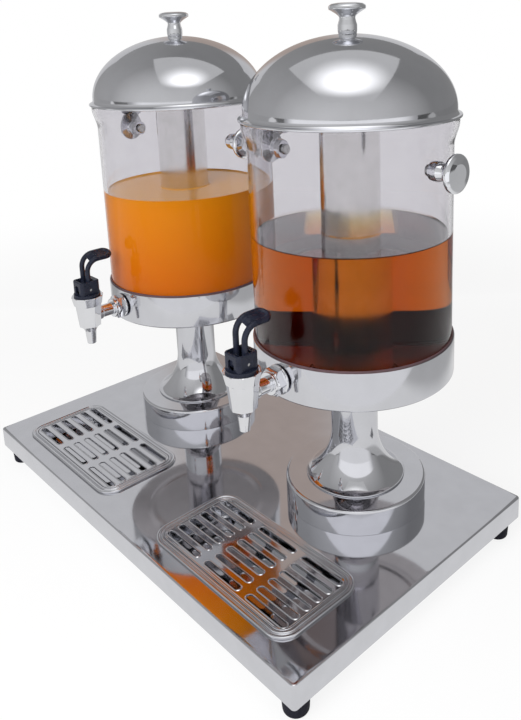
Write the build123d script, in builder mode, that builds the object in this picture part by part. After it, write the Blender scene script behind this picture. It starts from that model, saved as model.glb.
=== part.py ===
from build123d import *
from math import acos, atan, cos, degrees, pi, sqrt
import os

# A twin juice dispenser: two clear containers with domed lids stand on turned pedestals over one
# polished base, each with a chrome tap at the front and a drip tray under the tap.
# Millimetres. The origin is on the table under the middle of the base, +Z is up and the taps face -Y.
# Each unit's pieces are made once about the unit's own axis and set down twice, left and right.

# Base pan on its rubber feet
base_width = 548.0
base_depth = 328.0
base_sheet = 1.5
base_corner_radius = 4.0
base_bend_radius = 2.5
skirt_height = 24.0
return_flange = 32.0
foot_height = 21.0
foot_radius = 12.5
foot_taper = 1.5
foot_inset = 17.0
foot_web = 9.0
foot_screw_radius = 2.5
foot_screw_head_radius = 4.5
foot_screw_head_height = 3.0
foot_screw_tail = 4.0

# Places of the two units
unit_pitch = 283.0
unit_setback = 52.0

# Pedestal: drum, bell and the bolt that ties the unit together
pedestal_height = 149.0
pedestal_sheet = 1.5
drum_radius = 74.0
drum_height = 26.5
drum_edge_radius = 3.0
bell_foot_radius = 52.0
bell_flare_height = 50.0
bell_cap = 3.0
neck_radius = 24.6
bolt_radius = 4.0
bolt_head_radius = 7.5
bolt_head_height = 5.0
bolt_seal_radius = 9.0
bolt_seal_height = 2.0
bolt_flange_radius = 11.0
bolt_flange_height = 1.6
bolt_nut_flats = 13.0
bolt_nut_height = 6.5
bolt_tail = 3.0

# Cup, gasket and clear container
cup_height = 38.0
cup_sheet = 1.0
gasket_wall = 1.5
gasket_floor = 1.5
gasket_floor_width = 10.0
gasket_stand = 2.0
gasket_lip_round = 0.9
container_radius = 99.5
container_height = 254.0
container_wall = 4.0
container_floor = 5.0
container_heel_radius = 4.0
rim_flare = 5.0
rim_height = 5.0
rim_flare_height = 22.0
boss_height = 6.0

# Ice tube
tube_radius = 29.7
tube_wall = 1.2
tube_floor = 1.5
tube_stand = 4.0
tube_headroom = 1.5
tube_hem = 2.4

# Domed lid
lid_sheet = 1.2
lid_lip_wall = 2.0
lid_lip_height = 6.0
lid_lip_drop = 0.8
lid_lip_edge = 2.3
lid_lip_round = 0.9
dome_inset = 2.0
dome_rise = 71.0

# Turned knob, the same on the lids and on the containers' sides
knob_radius = 17.5
knob_height = 28.5
knob_edge = 4.7
knob_crown = 2.1
knob_neck_radius = 7.4
knob_neck_height = 14.5
knob_throat_height = 16.0
knob_throat_round = 2.0
knob_foot_radius = 9.1
knob_barrel_height = 8.5
knob_foot_chamfer = 0.5
knob_screw_radius = 3.0
knob_screw_depth = 12.0
knob_screw_head_radius = 5.5
knob_screw_head_height = 3.5
knob_screw_head_round = 1.0
handle_drop = 41.5

# Tap: heights are measured from the axis of its shank
tap_reach = 146.0
tap_height = 20.0
tap_body_radius = 15.4
tap_body_foot_radius = 12.8
tap_body_facets = 8
tap_body_above = 14.0
tap_body_below = 12.0
tap_thread_radius = 12.5
tap_thread_height = 4.0
chamber_radius = 9.0
chamber_floor_drop = 5.0
seat_thickness = 2.5
seat_hole_radius = 3.8
outlet_radius = 5.8
outlet_drop = 13.8
nozzle_drop = 34.2
nozzle_shoulder = 2.5
nozzle_root_radius = 8.6
nozzle_waist_radius = 6.3
nozzle_waist_drop = 18.7
nozzle_tip_radius = 5.0
nozzle_bore_radius = 3.2
ring_nut_radius = 18.2
ring_nut_foot_radius = 16.0
ring_nut_facets = 10
ring_nut_height = 11.0
bonnet_radius = 15.0
bonnet_flange_height = 10.0
bonnet_floor = 3.0
bonnet_width = 22.0
bonnet_depth = 23.5
bonnet_height = 15.7
bonnet_corner_radius = 4.0
bonnet_round = 1.2
bonnet_slot_width = 18.6
bonnet_slot_front = 9.9
bonnet_slot_back = 5.8
bonnet_notch_width = 8.0
bonnet_notch_height = 10.5
bonnet_notch_round = 3.0
shank_radius = 7.4
shank_bore_radius = 5.5
shank_tail = 2.0
lock_nut_flats = 24.0
lock_nut_thickness = 8.5
lock_nut_chamfer = 1.2
lock_nut_shoulder_radius = 11.3
lock_nut_shoulder = 2.5
lock_nut_flange_radius = 14.5
lock_nut_flange = 2.2
inner_nut_flats = 20.0
inner_nut_thickness = 7.0
tap_gasket_radius = 13.0
tap_gasket_outer = 1.0
tap_gasket_inner = 3.0

# Tap lever, its pin and the valve stem that it presses down
pin_radius = 1.5
pin_recess = 0.4
pin_rise = 33.5
cam_radius = 6.0
cam_offset = 3.5
leg_radius = 2.9
leg_spacing = 12.2
lever_straight = 24.3
lever_lean = 4.7
lever_room = 12.0
lever_run_to_bend = 0.8
lever_pad_turn = 50.0
lever_pad_thickness = 3.4
stem_radius = 2.2
stem_head_radius = 5.0
stem_head_height = 2.0
stem_collar_radius = 6.4
stem_collar_height = 2.0
stem_button_radius = 3.4
stem_button_height = 1.2
seal_radius = 5.2
seal_thickness = 2.4
spring_wire_radius = 0.6
spring_radius = 5.4
spring_turns = 6
spring_length = 20.0

# Drip tray and its slotted grille
tray_offset = 1.5
tray_width = 197.0
tray_depth = 100.0
tray_corner_radius = 20.0
tray_rim_height = 2.5
tray_rim_overhang = 6.0
tray_rim_round = 1.2
tray_sheet = 1.2
tray_ledge = 3.0
tray_drop = 18.0
grille_thickness = 1.5
grille_columns = 3
grille_rows = 6
grille_end_margin = 4.25
grille_side_margin = 5.175
slot_end_gap = 10.8
slot_side_gap = 7.05

# Clearances
seat_gap = 0.2
cam_gap = 0.4
running_gap = 0.05
hole_gap = 0.3
drop_in_gap = 0.5

# Heights worked out from the sizes above
plate_z = foot_height + skirt_height
drum_top_z = plate_z + drum_height
cup_z = plate_z + pedestal_height
cup_rim_z = cup_z + cup_height
container_z = cup_z + cup_sheet + gasket_floor
floor_z = container_z + container_floor
boss_z = floor_z + boss_height
rim_z = container_z + container_height
lid_seat_z = rim_z + seat_gap
dome_z = lid_seat_z + lid_lip_height
handle_z = rim_z - handle_drop
tap_z = cup_z + tap_height
seal_top = -chamber_floor_drop - seat_thickness - seat_gap
tray_rim_z = plate_z + seat_gap
ledge_z = tray_rim_z + tray_rim_height - grille_thickness - seat_gap

# Radii worked out from the sizes above
cup_inner_radius = container_radius + gasket_wall
cup_radius = cup_inner_radius + cup_sheet
container_bore = container_radius - container_wall
rim_radius = container_radius + rim_flare
tube_bore = tube_radius - tube_wall
lid_lap_radius = rim_radius + drop_in_gap
lid_lip_radius = lid_lap_radius + lid_lip_wall
dome_radius = rim_radius - dome_inset
dome_flat_radius = knob_foot_radius + knob_foot_chamfer
dome_inner_radius = dome_radius - lid_sheet
dome_inner_rise = dome_rise - lid_sheet
dome_top_z = dome_z + dome_rise * sqrt(1 - (dome_flat_radius / dome_radius) ** 2)
dome_under_z = dome_z + dome_inner_rise * sqrt(1 - (dome_flat_radius / dome_inner_radius) ** 2)

# The lever's loop leans to +X, its bend and run leave its rounded end clear of the container, and the
# tray lies under the tap
lever_across = Vector(leg_spacing, 0, -lever_lean)
lever_end_radius = lever_across.length / 2
lever_reach = tap_reach - container_radius - lever_room - lever_end_radius - leg_radius
lever_bend_radius = lever_reach / (1 + lever_run_to_bend)
lever_run = lever_reach - lever_bend_radius
tray_reach = tap_reach + tray_offset

units = {"left": -unit_pitch / 2, "right": unit_pitch / 2}
unit_axis = Axis.Z
tap_plane = Plane(origin=(0, -tap_reach, tap_z), x_dir=(1, 0, 0), z_dir=(0, -1, 0))
tap_axis = Axis((0, -tap_reach, 0), (0, 0, 1))
tap_level = Plane((0, -tap_reach, tap_z))
pin_plane = Plane((0, -tap_reach, tap_z + pin_rise), x_dir=(0, 1, 0), z_dir=(1, 0, 0))
tray_level = Plane((0, -tray_reach, 0))

os.makedirs("parts", exist_ok=True)


def write(piece, name):
    """Label one finished piece and write it."""
    piece.label = name
    export_step(piece, f"parts/{name}.step")


def set_down(piece, name):
    """Write the copies of a unit's piece, one at each unit's place."""
    for side, x in units.items():
        write(piece.moved(Location((x, unit_setback, 0))), f"{side}_{name}")


def make_base_pan():
    """Folded sheet pan: flat top, four skirts and a return flange that the feet screw into."""
    with BuildPart() as pan:
        with BuildSketch(Plane.XY.offset(foot_height)):
            RectangleRounded(base_width, base_depth, base_corner_radius)
        extrude(amount=skirt_height)
        fillet(pan.faces().sort_by(Axis.Z)[-1].edges(), radius=base_bend_radius)
        inner_width = base_width - 2 * base_sheet
        inner_depth = base_depth - 2 * base_sheet
        with BuildSketch(Plane.XY.offset(foot_height + base_sheet)):
            RectangleRounded(inner_width, inner_depth, base_corner_radius - base_sheet)
        extrude(amount=skirt_height - 2 * base_sheet, mode=Mode.SUBTRACT)
        with BuildSketch(Plane.XY.offset(foot_height)):
            Rectangle(base_width - 2 * return_flange, base_depth - 2 * return_flange)
        extrude(amount=base_sheet, mode=Mode.SUBTRACT)
        with BuildSketch(Plane.XY.offset(plate_z)):
            with Locations(*[(x, unit_setback) for x in units.values()]):
                Circle(bolt_radius + hole_gap)
            with Locations(*[(x, unit_setback - tray_reach) for x in units.values()]):
                tray_outline(tray_rim_overhang - drop_in_gap)
        extrude(amount=-base_sheet, mode=Mode.SUBTRACT)
        with BuildSketch(Plane.XY.offset(foot_height)):
            with Locations(*foot_places()):
                Circle(foot_screw_radius)
        extrude(amount=base_sheet, mode=Mode.SUBTRACT)
    return pan.part


def foot_places():
    """The four feet's places, inset from the base's corners."""
    reach_x = base_width / 2 - foot_inset
    reach_y = base_depth / 2 - foot_inset
    return [(x, y) for x in (-reach_x, reach_x) for y in (-reach_y, reach_y)]


def tray_outline(inset):
    """The tray's rounded outline, drawn in by the given amount."""
    return RectangleRounded(tray_width - 2 * inset, tray_depth - 2 * inset, tray_corner_radius - inset)


def make_feet():
    """Tapered rubber feet, each with a recess below for its screw's head."""
    with BuildPart() as feet:
        with BuildSketch(Plane.XY.offset(foot_height)):
            with Locations(*foot_places()):
                Circle(foot_radius)
        extrude(amount=-foot_height, taper=degrees(atan(foot_taper / foot_height)))
        with BuildSketch(Plane.XY):
            with Locations(*foot_places()):
                Circle(foot_screw_head_radius + hole_gap)
        extrude(amount=foot_height - foot_web, mode=Mode.SUBTRACT)
        with BuildSketch(Plane.XY):
            with Locations(*foot_places()):
                Circle(foot_screw_radius + hole_gap)
        extrude(amount=foot_height, mode=Mode.SUBTRACT)
    return feet.part


def make_foot_screws():
    """Pan-head screws that hold the feet to the base's return flange."""
    head_top_z = foot_height - foot_web
    with BuildPart() as screws:
        with BuildSketch(Plane.XY.offset(head_top_z - foot_screw_head_height)):
            with Locations(*foot_places()):
                Circle(foot_screw_head_radius)
        extrude(amount=foot_screw_head_height)
        with BuildSketch(Plane.XY.offset(head_top_z)):
            with Locations(*foot_places()):
                Circle(foot_screw_radius)
        extrude(amount=foot_web + base_sheet + foot_screw_tail)
    return screws.part


def make_drum():
    """Low spun drum that stands on the base, open below."""
    inner_radius = drum_radius - pedestal_sheet
    inner_top_z = drum_top_z - pedestal_sheet
    with BuildPart() as drum:
        with BuildSketch(Plane.XZ) as section:
            with BuildLine():
                Polyline(
                    (bolt_radius + hole_gap, inner_top_z),
                    (inner_radius, inner_top_z),
                    (inner_radius, plate_z),
                    (drum_radius, plate_z),
                    (drum_radius, drum_top_z),
                    (bolt_radius + hole_gap, drum_top_z),
                    close=True,
                )
            make_face()
            outer = section.vertices().group_by(Axis.X)[-1].sort_by(Axis.Y)[-1]
            fillet(outer, radius=drum_edge_radius)
            inner = section.vertices().sort_by_distance((inner_radius, inner_top_z))[0]
            fillet(inner, radius=drum_edge_radius - pedestal_sheet)
        revolve(axis=unit_axis)
    return drum.part


def make_bell():
    """Trumpet-shaped pedestal: a flared foot on the drum and a straight neck up to the cup."""
    flare_z = drum_top_z + bell_flare_height
    flare_width = bell_foot_radius - neck_radius
    flare_radius = (flare_width**2 + bell_flare_height**2) / (2 * flare_width)
    centre_radius = neck_radius + flare_radius
    inner_flare = flare_radius + pedestal_sheet
    inner_neck = neck_radius - pedestal_sheet
    inner_foot = centre_radius - sqrt(inner_flare**2 - bell_flare_height**2)
    with BuildPart() as bell:
        with BuildSketch(Plane.XZ):
            with BuildLine():
                TangentArc((neck_radius, flare_z), (bell_foot_radius, drum_top_z), tangent=(0, -1))
                Line((bell_foot_radius, drum_top_z), (inner_foot, drum_top_z))
                TangentArc((inner_neck, flare_z), (inner_foot, drum_top_z), tangent=(0, -1))
                Polyline(
                    (inner_neck, flare_z),
                    (inner_neck, cup_z - bell_cap),
                    (bolt_radius + hole_gap, cup_z - bell_cap),
                    (bolt_radius + hole_gap, cup_z),
                    (neck_radius, cup_z),
                    (neck_radius, flare_z),
                )
            make_face()
        revolve(axis=unit_axis)
    return bell.part


def make_cup():
    """Polished cup that holds the foot of the container."""
    with BuildPart() as cup:
        with BuildSketch(Plane.XZ):
            with BuildLine():
                Polyline(
                    (bolt_radius + hole_gap, cup_z),
                    (cup_radius, cup_z),
                    (cup_radius, cup_rim_z),
                    (cup_inner_radius, cup_rim_z),
                    (cup_inner_radius, cup_z + cup_sheet),
                    (bolt_radius + hole_gap, cup_z + cup_sheet),
                    close=True,
                )
            make_face()
        revolve(axis=unit_axis)
        with BuildSketch(tap_plane):
            Circle(shank_radius + hole_gap)
        extrude(amount=-tap_reach, mode=Mode.SUBTRACT)
    return cup.part


def make_gasket():
    """Rubber ring between the cup and the container, standing a little above the cup's rim."""
    top_z = cup_rim_z + gasket_stand
    with BuildPart() as gasket:
        with BuildSketch(Plane.XZ) as section:
            with BuildLine():
                Polyline(
                    (container_radius - gasket_floor_width, cup_z + cup_sheet),
                    (cup_inner_radius, cup_z + cup_sheet),
                    (cup_inner_radius, top_z),
                    (container_radius, top_z),
                    (container_radius, container_z),
                    (container_radius - gasket_floor_width, container_z),
                    close=True,
                )
            make_face()
            outer = section.vertices().group_by(Axis.Y)[-1].sort_by(Axis.X)[-1]
            fillet(outer, radius=gasket_lip_round)
        revolve(axis=unit_axis)
        with BuildSketch(tap_plane):
            Circle(shank_radius + hole_gap)
        extrude(amount=-tap_reach, mode=Mode.SUBTRACT)
    return gasket.part


def make_container():
    """Clear moulded container: straight wall, flared mouth, and a boss in the middle of its floor."""
    flare_top_z = rim_z - rim_height
    flare_mid_z = flare_top_z - rim_flare_height / 2
    flare_foot_z = flare_top_z - rim_flare_height
    boss_radius = tube_bore - drop_in_gap
    bolt_hole = bolt_radius + hole_gap
    with BuildPart() as container:
        with BuildSketch(Plane.XZ) as section:
            with BuildLine():
                for foot in (container_radius, container_bore):
                    middle = (foot + rim_flare / 2, flare_mid_z)
                    lower = TangentArc((foot, flare_foot_z), middle, tangent=(0, 1))
                    TangentArc(middle, (foot + rim_flare, flare_top_z), tangent=lower % 1)
                Polyline(
                    (rim_radius, flare_top_z),
                    (rim_radius, rim_z),
                    (container_bore + rim_flare, rim_z),
                    (container_bore + rim_flare, flare_top_z),
                )
                Polyline(
                    (container_bore, flare_foot_z),
                    (container_bore, floor_z),
                    (boss_radius, floor_z),
                    (boss_radius, boss_z),
                    (bolt_hole, boss_z),
                    (bolt_hole, container_z),
                    (container_radius, container_z),
                    (container_radius, flare_foot_z),
                )
            make_face()
            heel = section.vertices().sort_by_distance((container_radius, container_z))[0]
            fillet(heel, radius=container_heel_radius)
            floor_corner = section.vertices().sort_by_distance((container_bore, floor_z))[0]
            fillet(floor_corner, radius=container_heel_radius / 2)
        revolve(axis=unit_axis)
        with BuildSketch(tap_plane):
            Circle(shank_radius + hole_gap)
        extrude(amount=-tap_reach, mode=Mode.SUBTRACT)
        with BuildSketch(Plane.YZ.offset(-rim_radius)):
            with Locations((0, handle_z)):
                Circle(knob_screw_radius + hole_gap)
        extrude(amount=2 * rim_radius, mode=Mode.SUBTRACT)
    return container.part


def make_tie_bolt():
    """Long bolt from the container's floor down through the pedestal and the base."""
    head_z = boss_z + bolt_seal_height
    tail_z = plate_z - base_sheet - bolt_flange_height - bolt_nut_height - bolt_tail
    with BuildPart() as bolt:
        with BuildSketch(Plane.XY.offset(head_z)):
            Circle(bolt_head_radius)
        extrude(amount=bolt_head_height)
        fillet(bolt.edges().group_by(Axis.Z)[-1], radius=bolt_head_height / 2)
        with BuildSketch(Plane.XY.offset(tail_z)):
            Circle(bolt_radius)
        extrude(amount=head_z - tail_z)
    return bolt.part


def make_bolt_seal():
    """Rubber sealing washer under the tie bolt's head."""
    with BuildPart() as seal:
        with BuildSketch(Plane.XY.offset(boss_z)):
            Circle(bolt_seal_radius)
            Circle(bolt_radius, mode=Mode.SUBTRACT)
        extrude(amount=bolt_seal_height)
    return seal.part


def make_tie_nut():
    """Flanged nut on the tie bolt, under the base's top."""
    flange_top_z = plate_z - base_sheet
    with BuildPart() as nut:
        with BuildSketch(Plane.XY.offset(flange_top_z)):
            Circle(bolt_flange_radius)
        extrude(amount=-bolt_flange_height)
        with BuildSketch(Plane.XY.offset(flange_top_z - bolt_flange_height)):
            RegularPolygon(bolt_nut_flats / 2, 6, major_radius=False)
        extrude(amount=-bolt_nut_height)
        with BuildSketch(Plane.XY.offset(flange_top_z)):
            Circle(bolt_radius)
        extrude(amount=-bolt_flange_height - bolt_nut_height, mode=Mode.SUBTRACT)
    return nut.part


def make_ice_tube():
    """Steel tube for ice: open at the top, with a floor raised over the container's boss."""
    foot_z = floor_z + seat_gap
    top_z = rim_z + tube_stand
    recess_top_z = boss_z + bolt_seal_height + bolt_head_height + tube_headroom
    with BuildPart() as tube:
        with BuildSketch(Plane.XZ):
            with BuildLine():
                Polyline(
                    (0, recess_top_z),
                    (tube_bore, recess_top_z),
                    (tube_bore, foot_z),
                    (tube_radius, foot_z),
                    (tube_radius, top_z - tube_hem),
                    (tube_radius + tube_hem / 2, top_z - tube_hem / 2),
                    (tube_radius, top_z),
                    (tube_bore, top_z),
                    (tube_bore, recess_top_z + tube_floor),
                    (0, recess_top_z + tube_floor),
                    close=True,
                )
            make_face()
        revolve(axis=unit_axis)
    return tube.part


def make_lid():
    """Spun dome that sweeps out in a cove to a thin lip, which rests on the container's rim."""
    lip_foot_z = lid_seat_z - lid_lip_drop
    lip_top_z = lip_foot_z + lid_lip_edge
    outer_turn = degrees(acos(dome_flat_radius / dome_radius))
    inner_turn = degrees(acos(dome_flat_radius / dome_inner_radius))
    hole_radius = knob_screw_radius + hole_gap
    with BuildPart() as lid:
        with BuildSketch(Plane.XZ) as section:
            with BuildLine():
                EllipticalCenterArc((0, dome_z), dome_radius, dome_rise, arc_size=outer_turn)
                EllipticalCenterArc((0, dome_z), dome_inner_radius, dome_inner_rise, arc_size=inner_turn)
                Polyline(
                    (dome_flat_radius, dome_top_z),
                    (hole_radius, dome_top_z),
                    (hole_radius, dome_under_z),
                    (dome_flat_radius, dome_under_z),
                )
                Polyline(
                    (dome_inner_radius, dome_z),
                    (dome_inner_radius, lid_seat_z),
                    (lid_lap_radius, lid_seat_z),
                    (lid_lap_radius, lip_foot_z),
                    (lid_lip_radius, lip_foot_z),
                    (lid_lip_radius, lip_top_z),
                )
                TangentArc((dome_radius, dome_z), (lid_lip_radius, lip_top_z), tangent=(0, -1))
            make_face()
            fillet(section.vertices().group_by(Axis.X)[-1], radius=lid_lip_round)
        revolve(axis=unit_axis)
    return lid.part


def make_knob(seat, sink):
    """Turned knob: barrel foot, narrow throat and a wide rounded head with a blind hole for its screw.

    The seat's plane holds the knob's axis along its own Y, and the foot reaches below by the sink.
    """
    head_z = knob_height - knob_crown - knob_edge
    head_radius = knob_radius - knob_edge / 2
    edge_top = (head_radius, head_z + knob_edge)
    with BuildPart() as knob:
        with BuildSketch(seat) as section:
            with BuildLine():
                Polyline(
                    (0, -sink),
                    (knob_foot_radius - knob_foot_chamfer, -sink),
                    (knob_foot_radius, knob_foot_chamfer),
                    (knob_foot_radius, knob_barrel_height),
                    (knob_neck_radius, knob_neck_height),
                    (knob_neck_radius, knob_throat_height),
                    (head_radius, head_z),
                )
                ThreePointArc((head_radius, head_z), (knob_radius, head_z + knob_edge / 2), edge_top)
                TangentArc((0, knob_height), edge_top, tangent=(1, 0))
                Line((0, knob_height), (0, -sink))
            make_face()
            throat = section.vertices().sort_by_distance((knob_neck_radius, knob_throat_height))[0]
            fillet(throat, radius=knob_throat_round)
        revolve(axis=Axis(seat.origin, seat.y_dir))
        with BuildSketch(Plane(seat.origin, x_dir=seat.x_dir, z_dir=seat.y_dir).offset(-sink)):
            Circle(knob_screw_radius)
        extrude(amount=sink + knob_screw_depth, mode=Mode.SUBTRACT)
    return knob.part


def make_knob_screw(seat, grip):
    """Pan-head screw that comes through a wall of the given grip into a knob."""
    head_y = grip + knob_screw_head_height
    screw_plane = Plane(seat.origin, x_dir=seat.x_dir, z_dir=seat.y_dir)
    with BuildPart() as screw:
        with BuildSketch(screw_plane.offset(-head_y)):
            Circle(knob_screw_head_radius)
        extrude(amount=knob_screw_head_height)
        head_face = screw.faces().filter_by(screw_plane).sort_by(Axis(seat.origin, seat.y_dir))[0]
        fillet(head_face.edges(), radius=knob_screw_head_round)
        with BuildSketch(screw_plane.offset(-grip)):
            Circle(knob_screw_radius)
        extrude(amount=grip + knob_screw_depth)
    return screw.part


def handle_seat(direction):
    """Seat of a side knob on the container's wall, facing along X in the given direction."""
    return Plane((direction * container_radius, 0, handle_z), x_dir=(0, 1, 0), z_dir=(0, 0, -direction))


def make_handle(direction):
    """Side knob, its foot hollowed to sit on the round wall."""
    with BuildPart() as handle:
        add(make_knob(handle_seat(direction), knob_foot_radius**2 / container_radius))
        with BuildSketch(Plane.XY.offset(handle_z - knob_radius)):
            Circle(container_radius)
        extrude(amount=2 * knob_radius, mode=Mode.SUBTRACT)
    return handle.part


def make_handle_screws():
    """The two screws, inside the container, that hold its side knobs."""
    head_seat = sqrt(container_bore**2 - knob_screw_head_radius**2)
    with BuildPart() as screws:
        for direction in (-1, 1):
            add(make_knob_screw(handle_seat(direction), container_radius - head_seat))
    return screws.part


def make_tap_body():
    """Tap body: tapered faceted chamber, nozzle below, and a shank that reaches into the container."""
    shank_end = container_bore - tap_gasket_inner - inner_nut_thickness - shank_tail
    thread_top = tap_body_above + tap_thread_height
    seat_under = chamber_floor_drop + seat_thickness
    foot_flats = tap_body_foot_radius * cos(pi / tap_body_facets)
    with BuildPart() as body:
        with BuildSketch(tap_level.offset(-tap_body_below)):
            RegularPolygon(tap_body_foot_radius, tap_body_facets)
        with BuildSketch(tap_level.offset(tap_body_above)):
            RegularPolygon(tap_body_radius, tap_body_facets)
        loft()
        with BuildSketch(tap_level.offset(tap_body_above)):
            Circle(tap_thread_radius)
        extrude(amount=tap_thread_height)
        with BuildSketch(tap_plane):
            with BuildLine():
                Polyline(
                    (0, -nozzle_drop),
                    (nozzle_tip_radius, -nozzle_drop),
                    (nozzle_waist_radius, -nozzle_waist_drop),
                    (nozzle_root_radius, -tap_body_below - nozzle_shoulder),
                    (foot_flats, -tap_body_below),
                    (0, -tap_body_below),
                    close=True,
                )
            make_face()
        revolve(axis=tap_axis)
        with BuildSketch(Plane.XZ.offset(shank_end)):
            with Locations((0, tap_z)):
                Circle(shank_radius)
        extrude(amount=tap_reach - shank_end)
        with BuildSketch(tap_plane):
            with BuildLine():
                Polyline(
                    (0, -nozzle_drop),
                    (nozzle_bore_radius, -nozzle_drop),
                    (nozzle_bore_radius, -outlet_drop),
                    (outlet_radius, -outlet_drop),
                    (outlet_radius, -seat_under),
                    (seat_hole_radius, -seat_under),
                    (seat_hole_radius, -chamber_floor_drop),
                    (chamber_radius, -chamber_floor_drop),
                    (chamber_radius, thread_top),
                    (0, thread_top),
                    close=True,
                )
            make_face()
        revolve(axis=tap_axis, mode=Mode.SUBTRACT)
        with BuildSketch(Plane.XZ.offset(shank_end)):
            with Locations((0, tap_z)):
                Circle(shank_bore_radius)
        extrude(amount=tap_reach - shank_end, mode=Mode.SUBTRACT)
    return body.part


def make_ring_nut():
    """Faceted chrome ring, wider at the top, that screws onto the tap body and carries the bonnet."""
    with BuildPart() as ring:
        with BuildSketch(tap_level.offset(tap_body_above)):
            RegularPolygon(ring_nut_foot_radius, ring_nut_facets)
        with BuildSketch(tap_level.offset(tap_body_above + ring_nut_height)):
            RegularPolygon(ring_nut_radius, ring_nut_facets)
        loft()
        with BuildSketch(tap_level.offset(tap_body_above)):
            Circle(tap_thread_radius)
        extrude(amount=tap_thread_height, mode=Mode.SUBTRACT)
        with BuildSketch(tap_level.offset(tap_body_above + tap_thread_height)):
            Circle(bonnet_radius)
        extrude(amount=ring_nut_height, mode=Mode.SUBTRACT)
    return ring.part


def make_bonnet():
    """Black valve cap: a round flange in the ring nut and a block with a well for the lever's hub."""
    foot = tap_body_above + tap_thread_height
    block_foot = foot + bonnet_flange_height
    well_height = bonnet_flange_height + bonnet_height - bonnet_floor
    with BuildPart() as bonnet:
        with BuildSketch(tap_level.offset(block_foot)):
            RectangleRounded(bonnet_width, bonnet_depth, bonnet_corner_radius)
        extrude(amount=bonnet_height)
        fillet(bonnet.edges().group_by(Axis.Z)[-1], radius=bonnet_round)
        with BuildSketch(tap_level.offset(foot)):
            Circle(bonnet_radius)
        extrude(amount=bonnet_flange_height)
        with BuildSketch(tap_level.offset(foot + bonnet_floor)):
            with Locations((0, (bonnet_slot_back - bonnet_slot_front) / 2)):
                Rectangle(bonnet_slot_width, bonnet_slot_front + bonnet_slot_back)
        extrude(amount=well_height, mode=Mode.SUBTRACT)
        with BuildSketch(tap_plane) as notch:
            with Locations((0, block_foot + bonnet_notch_height / 2)):
                Rectangle(bonnet_notch_width, bonnet_notch_height)
            fillet(notch.vertices().group_by(Axis.Z)[-1], radius=bonnet_notch_round)
        extrude(amount=bonnet_depth, mode=Mode.SUBTRACT)
        with BuildSketch(tap_level.offset(foot)):
            Circle(stem_radius + running_gap)
        extrude(amount=bonnet_floor, mode=Mode.SUBTRACT)
        with BuildSketch(pin_plane.offset(-bonnet_width / 2)):
            Circle(pin_radius)
        extrude(amount=bonnet_width, mode=Mode.SUBTRACT)
    return bonnet.part


def make_lever_pin():
    """Cross pin in the bonnet's cheeks that the lever turns on."""
    half_length = bonnet_width / 2 - pin_recess
    with BuildPart() as pin:
        with BuildSketch(pin_plane.offset(-half_length)):
            Circle(pin_radius)
        extrude(amount=2 * half_length)
    return pin.part


def make_lever():
    """Black lever: an eccentric hub on the pin and a bent loop whose top is filled by a thinner pad."""
    half_spacing = leg_spacing / 2
    hub_width = leg_spacing + 2 * leg_radius
    half_pad = lever_pad_thickness / 2
    along = Vector(0, 1, 0)
    end_axis = along.cross(lever_across).normalized()
    bend_centre = pin_plane.origin + Vector(-half_spacing, lever_bend_radius, lever_straight)
    run_end = bend_centre + Vector(0, lever_run, lever_bend_radius)
    end_centre = run_end + lever_across / 2
    pad_top, pad_under = [lever_bend_radius + side * half_pad for side in (1, -1)]
    with BuildPart() as lever:
        for x, straight in ((-half_spacing, lever_straight), (half_spacing, lever_straight - lever_lean)):
            leg_top = tap_level.offset(pin_rise + straight)
            run_start = leg_top.origin + Vector(x, lever_bend_radius, lever_bend_radius)
            with BuildSketch(leg_top):
                with Locations((x, 0)):
                    Circle(leg_radius)
            extrude(amount=-straight)
            with BuildSketch(leg_top):
                with Locations((x, 0)):
                    Circle(leg_radius)
            revolve(axis=Axis(run_start - Vector(0, 0, lever_bend_radius), (-1, 0, 0)), revolution_arc=90)
            with BuildSketch(Plane(run_start, x_dir=(1, 0, 0), z_dir=along)):
                Circle(leg_radius)
            extrude(amount=lever_run)
        with BuildSketch(Plane(run_end, x_dir=(1, 0, 0), z_dir=along)):
            Circle(leg_radius)
        revolve(axis=Axis(end_centre, end_axis), revolution_arc=180)
        with BuildSketch(pin_plane.offset(-half_spacing)):
            with BuildLine():
                centre = Vector(lever_bend_radius, lever_straight)
                outer, inner = [CenterArc(centre, r, 90, 90 - lever_pad_turn) for r in (pad_top, pad_under)]
                Line(outer @ 1, inner @ 1)
                Polyline(
                    outer @ 0,
                    centre + Vector(lever_run, pad_top),
                    centre + Vector(lever_run, pad_under),
                    inner @ 0,
                )
            make_face()
        extrude(amount=2 * lever_end_radius, dir=lever_across)
        with BuildSketch(Plane(end_centre, x_dir=along, z_dir=end_axis)):
            Circle(lever_end_radius)
        extrude(amount=half_pad, both=True)
        with BuildSketch(pin_plane.offset(-hub_width / 2)):
            Circle(leg_radius)
            with Locations((-cam_offset, 0)):
                Circle(cam_radius)
        extrude(amount=hub_width)
        with BuildSketch(pin_plane.offset(-hub_width / 2)):
            Circle(pin_radius + running_gap)
        extrude(amount=hub_width, mode=Mode.SUBTRACT)
    return lever.part


def make_stem():
    """Valve stem: a head under the lever's hub, a collar for the spring, and a button below the seal."""
    head_top = pin_rise - cam_radius - cam_gap
    head_under = head_top - stem_head_height
    collar_under = spring_length - chamber_floor_drop
    collar_top = collar_under + stem_collar_height
    button_top = seal_top - seal_thickness
    with BuildPart() as stem:
        with BuildSketch(tap_plane):
            with BuildLine():
                Polyline(
                    (0, button_top - stem_button_height),
                    (stem_button_radius, button_top - stem_button_height),
                    (stem_button_radius, button_top),
                    (stem_radius, button_top),
                    (stem_radius, collar_under),
                    (stem_collar_radius, collar_under),
                    (stem_collar_radius, collar_top),
                    (stem_radius, collar_top),
                    (stem_radius, head_under),
                    (stem_head_radius, head_under),
                    (stem_head_radius, head_top),
                    (0, head_top),
                    close=True,
                )
            make_face()
        revolve(axis=tap_axis)
    return stem.part


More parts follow.
